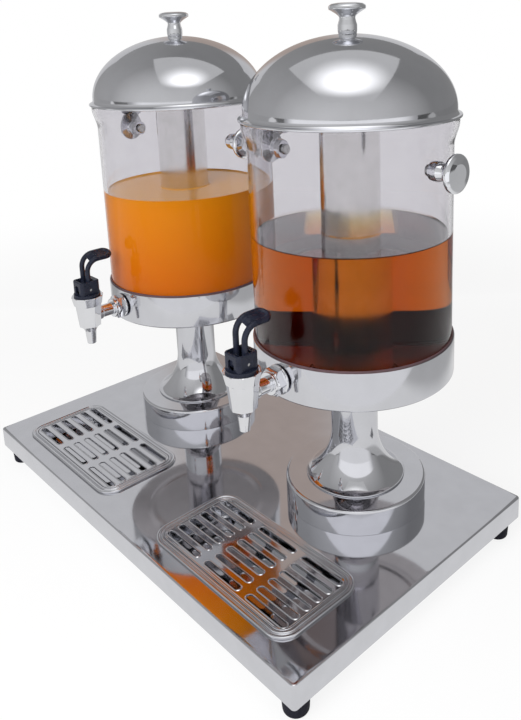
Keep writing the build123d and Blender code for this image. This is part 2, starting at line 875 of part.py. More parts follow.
def make_tap_seal():
    """Rubber disc on the stem that closes against the underside of the valve seat."""
    with BuildPart() as seal:
        with BuildSketch(tap_level.offset(seal_top - seal_thickness)):
            Circle(seal_radius)
            Circle(stem_radius, mode=Mode.SUBTRACT)
        extrude(amount=seal_thickness)
    return seal.part


def make_spring():
    """Coil spring round the stem, between the valve seat and the stem's collar."""
    rise = spring_length - 2 * (spring_wire_radius + running_gap)
    foot_z = tap_z - chamber_floor_drop + spring_wire_radius + running_gap
    with BuildPart() as spring:
        with BuildLine():
            coil = Helix(rise / spring_turns, rise, spring_radius, center=(0, -tap_reach, foot_z))
        with BuildSketch(Plane(coil @ 0, z_dir=coil % 0)):
            Circle(spring_wire_radius)
        sweep(is_frenet=True)
    return spring.part


def make_lock_nut():
    """Chrome hexagon nut between a wide flange and a round shoulder, which clamps the tap to the cup."""
    seat = cup_radius + tap_gasket_outer
    hexagon = seat + lock_nut_flange
    shoulder = hexagon + lock_nut_thickness
    with BuildPart() as nut:
        with BuildSketch(Plane.XZ.offset(hexagon)):
            with Locations((0, tap_z)):
                RegularPolygon(lock_nut_flats / 2, 6, major_radius=False)
        extrude(amount=lock_nut_thickness)
        chamfer(nut.edges().group_by(Axis.Y)[0], length=lock_nut_chamfer)
        for start, radius, length in (
            (seat, lock_nut_flange_radius, lock_nut_flange),
            (shoulder, lock_nut_shoulder_radius, lock_nut_shoulder),
        ):
            with BuildSketch(Plane.XZ.offset(start)):
                with Locations((0, tap_z)):
                    Circle(radius)
            extrude(amount=length)
        with BuildSketch(Plane.XZ.offset(seat)):
            with Locations((0, tap_z)):
                Circle(shank_radius)
        extrude(amount=shoulder + lock_nut_shoulder - seat, mode=Mode.SUBTRACT)
    return nut.part


def make_inner_nut():
    """Hexagon nut on the tap's shank, inside the container."""
    seat = container_bore - tap_gasket_inner
    with BuildPart() as nut:
        with BuildSketch(Plane.XZ.offset(seat)):
            with Locations((0, tap_z)):
                RegularPolygon(inner_nut_flats / 2, 6, major_radius=False)
                Circle(shank_radius, mode=Mode.SUBTRACT)
        extrude(amount=-inner_nut_thickness)
    return nut.part


def make_tap_gaskets():
    """Rubber rings on the tap's shank, shaped to the cup's outside and to the container's inside."""
    saddle = tap_gasket_radius**2 / container_radius
    with BuildPart() as outer:
        with BuildSketch(Plane.XZ.offset(cup_radius - saddle)):
            with Locations((0, tap_z)):
                Circle(tap_gasket_radius)
                Circle(shank_radius, mode=Mode.SUBTRACT)
        extrude(amount=saddle + tap_gasket_outer)
        with BuildSketch(Plane.XY.offset(tap_z - tap_gasket_radius)):
            Circle(cup_radius)
        extrude(amount=2 * tap_gasket_radius, mode=Mode.SUBTRACT)
    with BuildPart() as inner:
        with BuildSketch(Plane.XZ.offset(container_bore - tap_gasket_inner)):
            with Locations((0, tap_z)):
                Circle(inner_nut_flats / 2)
                Circle(shank_radius, mode=Mode.SUBTRACT)
        extrude(amount=tap_gasket_inner)
        with BuildSketch(Plane.XY.offset(tap_z - tap_gasket_radius)):
            Circle(container_bore)
        extrude(amount=2 * tap_gasket_radius, mode=Mode.INTERSECT)
    with BuildPart() as gaskets:
        add(outer.part)
        add(inner.part)
    return gaskets.part


def make_tray():
    """Drop-in drip tray: a rim that lies on the base, a ledge for the grille and a shallow pan."""
    pocket_inset = tray_rim_overhang + tray_sheet
    pan_inset = pocket_inset + tray_ledge
    with BuildPart() as tray:
        with BuildSketch(tray_level.offset(tray_rim_z)):
            tray_outline(0)
        extrude(amount=tray_rim_height)
        fillet(tray.edges().group_by(Axis.Z)[-1], radius=tray_rim_round)
        with BuildSketch(tray_level.offset(tray_rim_z)):
            tray_outline(tray_rim_overhang)
        extrude(amount=ledge_z - tray_sheet - tray_rim_z)
        with BuildSketch(tray_level.offset(plate_z - tray_drop)):
            tray_outline(pan_inset - tray_sheet)
        extrude(amount=ledge_z - plate_z + tray_drop)
        with BuildSketch(tray_level.offset(ledge_z)):
            tray_outline(pocket_inset)
        extrude(amount=tray_rim_height, mode=Mode.SUBTRACT)
        with BuildSketch(tray_level.offset(plate_z - tray_drop + tray_sheet)):
            tray_outline(pan_inset)
        extrude(amount=tray_drop + tray_rim_height, mode=Mode.SUBTRACT)
    return tray.part


def make_grille():
    """Slotted plate that lies on the tray's ledge, level with the tray's rim."""
    inset = tray_rim_overhang + tray_sheet + drop_in_gap
    slots_width = tray_width - 2 * (inset + grille_end_margin)
    slots_depth = tray_depth - 2 * (inset + grille_side_margin)
    column_pitch = (slots_width + slot_end_gap) / grille_columns
    row_pitch = (slots_depth + slot_side_gap) / grille_rows
    with BuildPart() as grille:
        with BuildSketch(tray_level.offset(ledge_z + seat_gap)):
            tray_outline(inset)
            with GridLocations(column_pitch, row_pitch, grille_columns, grille_rows):
                SlotOverall(column_pitch - slot_end_gap, row_pitch - slot_side_gap, mode=Mode.SUBTRACT)
        extrude(amount=grille_thickness)
    return grille.part


lid_knob_seat = Plane((0, 0, dome_top_z), x_dir=(1, 0, 0), z_dir=(0, -1, 0))

write(make_base_pan(), "base_pan")
write(make_feet(), "rubber_feet")
write(make_foot_screws(), "foot_screws")

set_down(make_drum(), "drum")
set_down(make_bell(), "bell")
set_down(make_cup(), "cup")
set_down(make_gasket(), "gasket")
set_down(make_container(), "container")
set_down(make_tie_bolt(), "tie_bolt")
set_down(make_bolt_seal(), "bolt_seal")
set_down(make_tie_nut(), "tie_nut")
set_down(make_ice_tube(), "ice_tube")
set_down(make_lid(), "lid")
set_down(make_knob(lid_knob_seat, 0), "lid_knob")
set_down(make_knob_screw(lid_knob_seat, dome_top_z - dome_under_z), "lid_knob_screw")
set_down(make_handle_screws(), "handle_screws")
set_down(make_tap_body(), "tap_body")
set_down(make_ring_nut(), "tap_ring_nut")
set_down(make_bonnet(), "tap_bonnet")
set_down(make_lever(), "tap_lever")
set_down(make_lever_pin(), "tap_lever_pin")
set_down(make_stem(), "tap_stem")
set_down(make_tap_seal(), "tap_seal")
set_down(make_spring(), "tap_spring")
set_down(make_lock_nut(), "tap_lock_nut")
set_down(make_inner_nut(), "tap_inner_nut")
set_down(make_tap_gaskets(), "tap_gaskets")
set_down(make_tray(), "drip_tray")
set_down(make_grille(), "drip_grille")

for side, x in units.items():
    outward = 1 if x > 0 else -1
    for name, direction in (("outer_handle", outward), ("inner_handle", -outward)):
        handle = make_handle(direction)
        write(handle.moved(Location((x, unit_setback, 0))), f"{side}_{name}")
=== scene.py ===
"""Twin juice dispenser: finishes, drinks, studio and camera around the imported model.

Metres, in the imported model's own frame: +Z is up, the taps face -Y and the origin is on the table.
"""

import logging
import math
from abc import ABC, abstractmethod
from dataclasses import dataclass
from enum import Enum
from functools import lru_cache
from itertools import pairwise
from typing import Iterable, Sequence

import bmesh
import bpy
from mathutils import Matrix, Vector


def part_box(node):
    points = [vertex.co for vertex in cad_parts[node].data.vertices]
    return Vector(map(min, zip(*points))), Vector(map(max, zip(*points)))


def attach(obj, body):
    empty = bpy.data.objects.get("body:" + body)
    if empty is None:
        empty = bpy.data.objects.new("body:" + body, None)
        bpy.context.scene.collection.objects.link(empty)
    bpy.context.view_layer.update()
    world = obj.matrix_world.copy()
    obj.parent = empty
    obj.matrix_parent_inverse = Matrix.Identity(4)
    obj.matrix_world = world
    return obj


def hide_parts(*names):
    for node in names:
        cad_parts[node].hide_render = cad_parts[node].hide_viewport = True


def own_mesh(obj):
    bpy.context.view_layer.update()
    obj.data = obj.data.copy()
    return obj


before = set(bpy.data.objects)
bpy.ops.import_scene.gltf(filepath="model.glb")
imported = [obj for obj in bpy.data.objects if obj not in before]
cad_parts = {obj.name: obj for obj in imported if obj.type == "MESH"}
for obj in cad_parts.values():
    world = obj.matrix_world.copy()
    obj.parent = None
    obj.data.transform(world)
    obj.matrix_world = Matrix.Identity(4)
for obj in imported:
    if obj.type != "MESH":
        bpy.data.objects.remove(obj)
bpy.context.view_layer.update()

MM = 0.001
LOG = logging.getLogger("dispenser")

Colour = tuple[float, float, float]
Point = tuple[float, float]
Corner = tuple[float, float, float]
Socket = bpy.types.NodeSocket
Piece = bpy.types.Object
Row = list[bmesh.types.BMVert]

# The roundings that small edges share, from the crispest to the fullest.
CRISP = 0.2 * MM
FINE = 0.3 * MM
BROKEN = 0.4 * MM
EASED = 0.5 * MM
SOFT = 0.6 * MM
FULL = 0.8 * MM

# A rounding takes at most this share of the sides next to its corner.
SIDE_SHARE = 0.49
ROUND_STEPS = 6
TURN_STEPS = 192
SHARP_DEGREES = 35.0

# A noise's values lie mostly between these.
NOISE_REACH: Point = (0.3, 0.7)

JUICE_LEVEL = 345 * MM
TEA_LEVEL = 337 * MM
CARD_WHITE: Colour = (0.985, 0.985, 1.0)


class Side(Enum):
    """The two units of the dispenser."""

    LEFT = "left"
    RIGHT = "right"


class Slot(Enum):
    """The record's material slots."""

    MIRROR_STEEL = "mirror_steel"
    SATIN_STEEL = "satin_steel"
    CHROME = "chrome"
    BLACK_PLASTIC = "black_plastic"
    BLACK_RUBBER = "black_rubber"
    CLEAR_PLASTIC = "clear_plastic"


class Grain(Enum):
    """The way in which a metal's polishing lines run."""

    FLAT = "along the sheet"
    SPUN = "round the turning axis"
    DRAWN = "along the tube"


class DrinkKind(Enum):
    """What a container holds."""

    ORANGE_JUICE = "orange_juice"
    TEA = "tea"


def grey(level: float) -> tuple[float, float, float, float]:
    """Return an even grey as a socket's colour."""
    return (level, level, level, 1.0)


class Graph:
    """The node tree of a material or of the room, with short calls to add and join nodes."""

    def __init__(self, owner: bpy.types.Material | bpy.types.World) -> None:
        """Start from Blender's own nodes.

        Args:
            owner: the material or world that the nodes belong to.
        """
        owner.use_nodes = True
        self.owner = owner
        self.nodes = owner.node_tree.nodes

    @classmethod
    def of_material(cls, name: str) -> "Graph":
        """Start a new material by its name."""
        return cls(bpy.data.materials.new(name))

    @property
    def shader(self) -> bpy.types.Node:
        """The material's principled shader."""
        return self.nodes["Principled BSDF"]

    @property
    def output(self) -> bpy.types.Node:
        """The material's output."""
        return self.nodes["Material Output"]

    def add(self, kind: str, inputs: dict | None = None, **settings: object) -> bpy.types.Node:
        """Add a node, set its properties, and set or link its inputs.

        Args:
            kind: the node's type without the ShaderNode prefix.
            inputs: values or output sockets for the node's inputs, by name or number.
            settings: the node's own properties.

        Returns:
            The new node.
        """
        node = self.nodes.new("ShaderNode" + kind)
        for key, value in settings.items():
            setattr(node, key, value)
        self.fill(node, inputs or {})
        return node

    def fill(self, node: bpy.types.Node, inputs: dict) -> None:
        """Set or link a node's inputs.

        Args:
            node: the node to fill.
            inputs: values or output sockets, by the input's name or number.
        """
        for key, value in inputs.items():
            if isinstance(value, Socket):
                self.owner.node_tree.links.new(value, node.inputs[key])
            else:
                node.inputs[key].default_value = value

    def place(self) -> Socket:
        """Return the point on the piece, in metres from the piece's own origin."""
        return self.add("TexCoord").outputs["Object"]

    def calc(self, operation: str, *values: Socket | float) -> Socket:
        """Return the result of an operation on numbers or sockets."""
        return self.add("Math", dict(enumerate(values)), operation=operation).outputs[0]

    def length(self, vector: Socket) -> Socket:
        """Return a vector's length."""
        return self.add("VectorMath", {0: vector}, operation="LENGTH").outputs["Value"]

    def height(self, vector: Socket) -> Socket:
        """Return a vector's upright part."""
        return self.add("SeparateXYZ", {0: vector}).outputs["Z"]

    def toward(self, place: Socket, way: Vector) -> Socket:
        """Return how far a point lies along a direction."""
        return self.add("VectorMath", {0: place, 1: tuple(way)}, operation="DOT_PRODUCT").outputs["Value"]

    def span(self, value: Socket, ends: Point, levels: Point, kind: str = "LINEAR") -> Socket:
        """Map the range between two ends onto the range between two levels."""
        limits = dict(zip(("From Min", "From Max", "To Min", "To Max"), (*ends, *levels)))
        return self.add("MapRange", {"Value": value, **limits}, interpolation_type=kind).outputs[0]

    def step(self, value: Socket, ends: Point, levels: Point) -> Socket:
        """Return a soft step between two ends, from one level to another."""
        return self.span(value, ends, levels, "SMOOTHSTEP")

    def spread(self, value: Socket, low: float, high: float) -> Socket:
        """Map a noise's usual reach onto the range from low to high."""
        return self.span(value, NOISE_REACH, (low, high))

    def seen(self, *rays: str) -> Socket:
        """Return 1 for the named kinds of rays, and 0 for others.

        Args:
            rays: the kinds, such as Camera or Glossy.

        Returns:
            The value.
        """
        path = self.add("LightPath")
        total = path.outputs[f"Is {rays[0]} Ray"]
        for ray in rays[1:]:
            inputs = {0: total, 1: path.outputs[f"Is {ray} Ray"]}
            total = self.add("Math", inputs, use_clamp=True).outputs[0]
        return total

    def noise(self, place: Socket, size: float, detail: float = 3.0) -> Socket:
        """Return an even noise with features of a size in metres and a number of finer layers."""
        inputs = {"Vector": place, "Scale": 1 / size, "Detail": detail}
        return self.add("TexNoise", inputs).outputs[0]

    def tint(self, value: Socket, low: Colour, high: Colour) -> Socket:
        """Return a shade between two colours, the first at 0 and the second at 1."""
        inputs = {"Factor": value, 6: (*low, 1.0), 7: (*high, 1.0)}
        return self.add("Mix", inputs, data_type="RGBA").outputs[2]

    def bump(self, height: Socket, depth: float, over: Socket | None = None) -> Socket:
        """Add a relief.

        Args:
            height: its height, from 0 to 1.
            depth: the depth of 1 in metres.
            over: a relief that this one lies on.

        Returns:
            The normal.
        """
        inputs = {"Height": height, "Strength": 1.0, "Distance": depth}
        if over is not None:
            inputs["Normal"] = over
        return self.add("Bump", inputs).outputs[0]

    def let_lamps_through(self, shade: Colour) -> None:
        """Let lamp light pass the surface, tinted, instead of casting a full shadow.

        Args:
            shade: the colour that the surface leaves of the light.
        """
        clear = self.add("BsdfTransparent", {"Color": (*shade, 1.0)})
        inputs = {0: self.seen("Shadow"), 1: self.shader.outputs[0], 2: clear.outputs[0]}
        self.fill(self.output, {"Surface": self.add("MixShader", inputs).outputs[0]})


class Finish(ABC):
    """The look of one kind of surface."""

    @abstractmethod
    def paint(self) -> bpy.types.Material:
        """Make the finish's material."""


@lru_cache(maxsize=None)
def material(finish: Finish) -> bpy.types.Material:
    """Return a finish's material, made once."""
    return finish.paint()


@dataclass(frozen=True)
class PolishedMetal(Finish):
    """Polished metal with fine polishing lines, faint stains and a slight waviness."""

    name: str
    colour: Colour
    stain: Colour
    smooth: float
    dull: float
    grain: Grain
    grain_size: float = 0.5 * MM
    grain_run: float = 40.0
    grain_depth: float = 0.0004 * MM
    wave_size: float = 70 * MM
    wave_depth: float = 0.03 * MM
    stain_size: float = 22 * MM
    metal: float = 1.0

    def lines(self, graph: Graph) -> Socket:
        """Return the point at which the polishing lines are read.

        Args:
            graph: the material's nodes.

        Returns:
            The stretched point.
        """
        place = graph.place()
        if self.grain is Grain.SPUN:
            flat = graph.add("VectorMath", {0: place, 1: (1.0, 1.0, 0.0)}, operation="MULTIPLY").outputs[0]
            return graph.add("CombineXYZ", {0: graph.length(flat), 1: graph.height(place)}).outputs[0]
        run = 1 / self.grain_run
        scale = (run, 1.0, 1.0) if self.grain is Grain.FLAT else (1.0, 1.0, run)
        return graph.add("Mapping", {"Vector": place, "Scale": scale}).outputs[0]

    def paint(self) -> bpy.types.Material:
        """Make the metal's material.

        Returns:
            The material.
        """
        graph = Graph.of_material(self.name)
        place = graph.place()
        lines = graph.noise(self.lines(graph), self.grain_size)
        stains = graph.noise(place, self.stain_size, detail=5.0)
        waves = graph.noise(place, self.wave_size, detail=1.0)
        worn = graph.calc("MULTIPLY", graph.calc("ADD", stains, lines), 0.5)
        graph.fill(graph.shader, {
            "Base Color": graph.tint(graph.spread(stains, 0.0, 1.0), self.stain, self.colour),
            "Metallic": self.metal,
            "Roughness": graph.spread(worn, self.smooth, self.dull),
            "Normal": graph.bump(lines, self.grain_depth, graph.bump(waves, self.wave_depth)),
        })
        return graph.owner


@dataclass(frozen=True)
class MouldedBlack(Finish):
    """Black moulded plastic or rubber with a fine skin."""

    name: str
    colour: Colour
    worn: Colour
    smooth: float
    dull: float
    skin_size: float = 0.35 * MM
    skin_depth: float = 0.01 * MM
    smear_size: float = 7 * MM
    gloss: float = 0.5

    def paint(self) -> bpy.types.Material:
        """Make the material.

        Returns:
            The material.
        """
        graph = Graph.of_material(self.name)
        place = graph.place()
        smears = graph.noise(place, self.smear_size, detail=4.0)
        skin = graph.noise(place, self.skin_size, detail=2.0)
        graph.fill(graph.shader, {
            "Base Color": graph.tint(graph.spread(smears, 0.0, 1.0), self.colour, self.worn),
            "Roughness": graph.spread(smears, self.smooth, self.dull),
            "Specular IOR Level": self.gloss,
            "Normal": graph.bump(skin, self.skin_depth),
        })
        return graph.owner


@dataclass(frozen=True)
class ClearPlastic(Finish):
    """Clear moulded plastic with a slight cool tint and faint handling marks."""

    name: str = "clear_moulded_plastic"
    colour: Colour = (0.775, 0.765, 0.79)
    faint: Colour = (0.758, 0.748, 0.774)
    shade: Colour = (0.9, 0.9, 0.915)
    smooth: float = 0.0
    dull: float = 0.01
    index: float = 1.49
    mirror: float = 0.2
    flow_size: float = 45 * MM
    flow_depth: float = 0.04 * MM
    mark_size: float = 14 * MM

    def paint(self) -> bpy.types.Material:
        """Make the material.

        Returns:
            The material.
        """
        graph = Graph.of_material(self.name)
        place = graph.place()
        marks = graph.noise(place, self.mark_size, detail=6.0)
        flow = graph.noise(place, self.flow_size, detail=1.0)
        graph.fill(graph.shader, {
            "Base Color": graph.tint(graph.spread(marks, 0.0, 1.0), self.faint, self.colour),
            "Roughness": graph.spread(marks, self.smooth, self.dull),
            "IOR": self.index,
            "Specular Tint": grey(self.mirror),
            "Transmission Weight": 1.0,
            "Normal": graph.bump(flow, self.flow_depth),
        })
        graph.let_lamps_through(self.shade)
        return graph.owner


@dataclass(frozen=True)
class ClearDrink(Finish):
    """A clear brown drink that darkens with depth and mirrors more on its open surface."""

    name: str = "tea"
    colour: Colour = (0.942, 0.7, 0.02)
    strength: float = 40.0
    shade: Colour = (1.0, 0.98, 0.94)
    index: float = 1.333
    mirror: float = 0.2
    surface_index: float = 1.6
    surface_from: float = 0.4
    surface_full: float = 0.8
    still: float = 0.0
    stirred: float = 0.004
    swirl_size: float = 30 * MM
    swirl_depth: float = 0.02 * MM

    def paint(self) -> bpy.types.Material:
        """Make the material.

        Returns:
            The material.
        """
        graph = Graph.of_material(self.name)
        swirl = graph.noise(graph.place(), self.swirl_size, detail=2.0)
        upward = graph.height(graph.add("NewGeometry").outputs["True Normal"])
        surface = graph.span(upward, (self.surface_from, self.surface_full), (0.0, 1.0))
        graph.fill(graph.shader, {
            "Base Color": grey(1.0),
            "Roughness": graph.spread(swirl, self.still, self.stirred),
            "IOR": self.index,
            "Specular Tint": grey(self.mirror),
            "Transmission Weight": 1.0,
            "Coat Weight": surface,
            "Coat IOR": self.surface_index,
            "Normal": graph.bump(swirl, self.swirl_depth),
        })
        inside = graph.add("VolumeAbsorption", {"Color": (*self.colour, 1.0), "Density": self.strength})
        graph.fill(graph.output, {"Volume": inside.outputs[0]})
        graph.let_lamps_through(self.shade)
        return graph.owner


@dataclass(frozen=True)
class CloudyDrink(Finish):
    """An opaque orange drink with pulp, painted darker towards the floor as painted shade."""

    name: str
    deep_painted_shade: Colour
    pale: Colour
    foot_z: float
    head_z: float
    gloss: float
    smooth: float
    dull: float
    pulp_size: float = 3 * MM
    pulp_depth: float = 0.05 * MM
    pulp_share: float = 0.12

    def paint(self) -> bpy.types.Material:
        """Make the material.

        Returns:
            The material.
        """
        graph = Graph.of_material(self.name)
        place = graph.place()
        pulp = graph.noise(place, self.pulp_size, detail=4.0)
        # Painted shade: the colour darkens from the pale colour at the surface to the deep one at the
        # container's foot.
        level = graph.step(graph.height(place), (self.foot_z, self.head_z), (0.0, 1.0))
        inputs = {0: level, 1: graph.spread(pulp, -self.pulp_share, self.pulp_share)}
        mixed = graph.add("Math", inputs, use_clamp=True).outputs[0]
        graph.fill(graph.shader, {
            "Base Color": graph.tint(mixed, self.deep_painted_shade, self.pale),
            "Roughness": graph.spread(pulp, self.smooth, self.dull),
            "Specular IOR Level": self.gloss,
            "Normal": graph.bump(pulp, self.pulp_depth),
        })
        return graph.owner


STEEL: Colour = (0.69, 0.695, 0.728)
STEEL_STAIN: Colour = (0.655, 0.66, 0.69)
SPUN_STEEL = PolishedMetal("spun_mirror_steel", STEEL, STEEL_STAIN, 0.045, 0.11, Grain.SPUN)
SHEET_STEEL = PolishedMetal("folded_mirror_steel", STEEL, STEEL_STAIN, 0.03, 0.09, Grain.FLAT,
                            wave_size=90 * MM, wave_depth=0.06 * MM)
TUBE_STEEL = PolishedMetal("drawn_satin_steel", (0.86, 0.855, 0.845), (0.78, 0.775, 0.76), 0.1, 0.22,
                           Grain.DRAWN, grain_size=0.8 * MM, grain_depth=0.001 * MM)
# The cup's floor: rough steel, painted near white and not metallic as painted light, standing in for the
# light that reaches it through the tea.
RAW_STEEL_PAINTED_LIGHT = PolishedMetal("unpolished_steel_painted_light", (0.93, 0.89, 0.88), (0.87, 0.83, 0.82), 0.42, 0.6, Grain.SPUN,
                          metal=0.0)
# The cup's underside: the same steel painted darker, as painted shade under the cup.
UNDER_STEEL_PAINTED_SHADE = PolishedMetal("cup_underside_painted_shade_steel", (0.48, 0.455, 0.465), (0.44, 0.415, 0.425), 0.05, 0.12,
                            Grain.SPUN)
SCREW_STEEL = PolishedMetal("screw_steel", (0.55, 0.55, 0.55), (0.47, 0.47, 0.46), 0.18, 0.34, Grain.SPUN)
CHROME = PolishedMetal("bright_chrome", (0.85, 0.86, 0.89), (0.8, 0.81, 0.84), 0.015, 0.045, Grain.SPUN,
                       wave_depth=0.01 * MM)
SOFT_CHROME = PolishedMetal("soft_chrome", (0.84, 0.845, 0.87), (0.8, 0.805, 0.825), 0.06, 0.14, Grain.SPUN,
                            wave_depth=0.01 * MM)
BLACK_PLASTIC = MouldedBlack("black_moulded_plastic", (0.009, 0.011, 0.021), (0.015, 0.018, 0.033), 0.2, 0.36,
                             gloss=0.3)
BLACK_RUBBER = MouldedBlack("black_rubber", (0.011, 0.011, 0.017), (0.019, 0.019, 0.027), 0.5, 0.68,
                            skin_size=0.6 * MM, skin_depth=0.03 * MM, gloss=0.05)
# The gasket's black rubber, painted lighter and reddish: painted light, standing in for the tea-tinted light
# that reaches it through the tea.
GASKET_RUBBER_PAINTED_LIGHT = MouldedBlack("gasket_rubber_painted_light", (0.085, 0.05, 0.056), (0.11, 0.066, 0.074), 0.4, 0.6,
                             skin_size=0.6 * MM, skin_depth=0.03 * MM, gloss=0.3)
CLEAR_PLASTIC = ClearPlastic()
TEA = ClearDrink()


@dataclass(frozen=True)
class Extent:
    """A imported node's box at rest."""

    low: Vector
    high: Vector

    @classmethod
    def of(cls, node: str) -> "Extent":
        """Return the box of a node by its name."""
        return cls(*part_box(node))

    @property
    def centre(self) -> Vector:
        """The middle of the box."""
        return (self.low + self.high) / 2

    @property
    def size(self) -> Vector:
        """The box's width, depth and height."""
        return self.high - self.low

    @property
    def radius(self) -> float:
        """Half the box's width along X."""
        return (self.high.x - self.low.x) / 2

    @property
    def placing(self) -> Matrix:
        """The placing of the box's middle, at the table."""
        return Matrix.Translation((self.centre.x, self.centre.y, 0))


def arc(centre: Point, radius: float, start: float, end: float, steps: int) -> list[Corner]:
    """Return an arc as plain corners, cut into steps from a start to an end angle in radians."""
    turns = [start + (end - start) * step / steps for step in range(steps + 1)]
    return [(centre[0] + radius * math.cos(a), centre[1] + radius * math.sin(a), 0.0) for a in turns]


def rounded(corners: Sequence[Corner], closed: bool = False, steps: int = ROUND_STEPS) -> list[Point]:
    """Round the corners of an outline with tangent arcs.

    Args:
        corners: the outline's corners, each with its rounding radius.
        closed: whether the last corner joins the first.
        steps: how many steps each rounding is cut into.

    Returns:
        The outline's points.
    """
    points: list[Point] = []
    count = len(corners)
    for index, (x, y, radius) in enumerate(corners):
        at_end = not closed and index in (0, count - 1)
        if radius <= 0 or at_end:
            points.append((x, y))
            continue
        here = Vector((x, y))
        before = Vector(corners[index - 1][:2]) - here
        after = Vector(corners[(index + 1) % count][:2]) - here
        half = before.angle(after) / 2
        reach = min(radius / math.tan(half), SIDE_SHARE * before.length, SIDE_SHARE * after.length)
        start = here + before.normalized() * reach
        end = here + after.normalized() * reach
        middle = here + (before.normalized() + after.normalized()).normalized() * reach / math.cos(half)
        sweep = (start - middle).angle_signed(end - middle)
        for step in range(steps + 1):
            turn = Matrix.Rotation(-sweep * step / steps, 2)
            points.append(tuple(middle + turn @ (start - middle)))
    return points


def rounded_rectangle(width: float, depth: float, radius: float, z: float, steps: int = 10) -> list[Vector]:
    """Return a level loop round a rectangle with round corners.

    Args:
        width: its size along X.
        depth: its size along Y.
        radius: the corners' radius.
        z: its height.
        steps: how many steps each corner is cut into.

    Returns:
        The loop's points, centred on the origin.
    """
    loop = []
    for quarter, (right, front) in enumerate(((1, 1), (-1, 1), (-1, -1), (1, -1))):
        centre = (right * (width / 2 - radius), front * (depth / 2 - radius))
        start = quarter * math.pi / 2
        loop += [Vector((x, y, z)) for x, y, _ in arc(centre, radius, start, start + math.pi / 2, steps)]
    return loop


def slot_loop(centre: Point, length: float, width: float, z: float, steps: int = 10) -> list[Vector]:
    """Return a level loop round a slot with half-round ends that lies along X.

    Args:
        centre: the slot's middle.
        length: its overall length.
        width: its width.
        z: its height.
        steps: how many steps each end is cut into.

    Returns:
        The loop's points.
    """
    radius = width / 2
    loop = []
    for end, start in ((1, -math.pi / 2), (-1, math.pi / 2)):
        middle = (centre[0] + end * (length / 2 - radius), centre[1])
        loop += [Vector((x, y, z)) for x, y, _ in arc(middle, radius, start, start + math.pi, steps)]
    return loop


@dataclass(frozen=True)
class Facets:
    """Flats round a stretch of a turned shape, which may taper."""

    count: int
    foot: Point
    head: Point

    def limit(self, radius: float, height: float, angle: float) -> float:
        """Return the radius at a place, cut down by the flat there.

        Args:
            radius: the turned radius.
            height: the place's height; the flats lie between the foot's and the head's heights.
            angle: the angle round the axis, in radians.

        Returns:
            The smaller of the radius and the flat's distance.
        """
        (low, foot), (high, head) = self.foot, self.head
        if not foot <= height <= head:
            return radius
        apothem = low + (high - low) * (height - foot) / (head - foot)
        pitch = 2 * math.pi / self.count
        return min(radius, apothem / math.cos(angle % pitch - pitch / 2))


class MeshMaker:
    """Collects surfaces in one mesh and turns them into a smooth-shaded piece."""

    def __init__(self) -> None:
        """Start an empty mesh."""
        self.mesh = bmesh.new()

    def row(self, points: Iterable[Vector], place: Matrix = Matrix()) -> Row:
        """Add a row of points, moved by a placing."""
        return [self.mesh.verts.new(place @ point) for point in points]

    def skin(self, first: Row, second: Row) -> None:
        """Join two closed rows, either of which may be a single point.

        Args:
            first: one row.
            second: the next row.
        """
        count = max(len(first), len(second))
        for index in range(count):
            after = (index + 1) % count
            corners = [first[index % len(first)], first[after % len(first)],
                       second[after % len(second)], second[index % len(second)]]
            self.mesh.faces.new(list(dict.fromkeys(corners)))

    def loft(self, rows: Sequence[Row], closed: bool = False) -> None:
        """Join each row to the next and, where closed, the last to the first."""
        for first, second in pairwise([*rows, rows[0]] if closed else rows):
            self.skin(first, second)

    def lathe(self, outline: Sequence[Point], segments: int = TURN_STEPS, closed: bool = False,
              facets: Facets | None = None, place: Matrix = Matrix()) -> None:
        """Turn an outline of radii and heights round the Z axis.

        Args:
            outline: the outline's points; a radius of 0 makes a single point.
            segments: how many steps the turn is cut into.
            closed: whether the outline closes on itself.
            facets: flats to cut on the shape.
            place: where the shape goes.
        """
        rows = []
        for radius, height in outline:
            ring = []
            for step in range(segments if radius > 0 else 1):
                angle = 2 * math.pi * step / segments
                reach = facets.limit(radius, height, angle) if facets else radius
                ring.append(Vector((reach * math.cos(angle), reach * math.sin(angle), height)))
            rows.append(self.row(ring, place))
        self.loft(rows, closed)

    def tube(self, path: Sequence[Vector], radius: float, segments: int = 20) -> None:
        """Sweep a round section along a path and close its ends.

        Args:
            path: the path's points.
            radius: the section's radius.
            segments: how many steps the section is cut into.
        """
        rows = []
        side = Vector((0, 1, 0))
        for index, point in enumerate(path):
            ahead = path[min(index + 1, len(path) - 1)] - path[max(index - 1, 0)]
            ahead.normalize()
            side = (side - ahead * side.dot(ahead)).normalized()
            other = ahead.cross(side)
            turns = [2 * math.pi * step / segments for step in range(segments)]
            rows.append(self.row(point + (side * math.cos(a) + other * math.sin(a)) * radius for a in turns))
        self.loft([self.row([path[0]]), *rows, self.row([path[-1]])])

    def fill(self, rows: Iterable[Row]) -> None:
        """Fill the flat space between level loops, the outer one and any holes.

        Args:
            rows: the loops.
        """
        edges = []
        for row in rows:
            for first, second in pairwise([*row, row[0]]):
                edges.append(self.mesh.edges.get((first, second)) or self.mesh.edges.new((first, second)))
        bmesh.ops.triangle_fill(self.mesh, use_beauty=True, use_dissolve=False, edges=edges)

    def piece(self, name: str, place: Matrix = Matrix(), sharp: float = SHARP_DEGREES) -> Piece:
        """Turn the mesh into an object.

        Args:
            name: the object's name.
            place: where it goes.
            sharp: edges that turn by more than this many degrees stay sharp.

        Returns:
            The object.
        """
        bmesh.ops.recalc_face_normals(self.mesh, faces=self.mesh.faces[:])
        data = bpy.data.meshes.new(name)
        self.mesh.to_mesh(data)
        self.mesh.free()
        data.polygons.foreach_set("use_smooth", [True] * len(data.polygons))
        data.set_sharp_from_angle(angle=math.radians(sharp))
        made = bpy.data.objects.new(name, data)
        bpy.context.scene.collection.objects.link(made)
        made.matrix_world = place
        return made


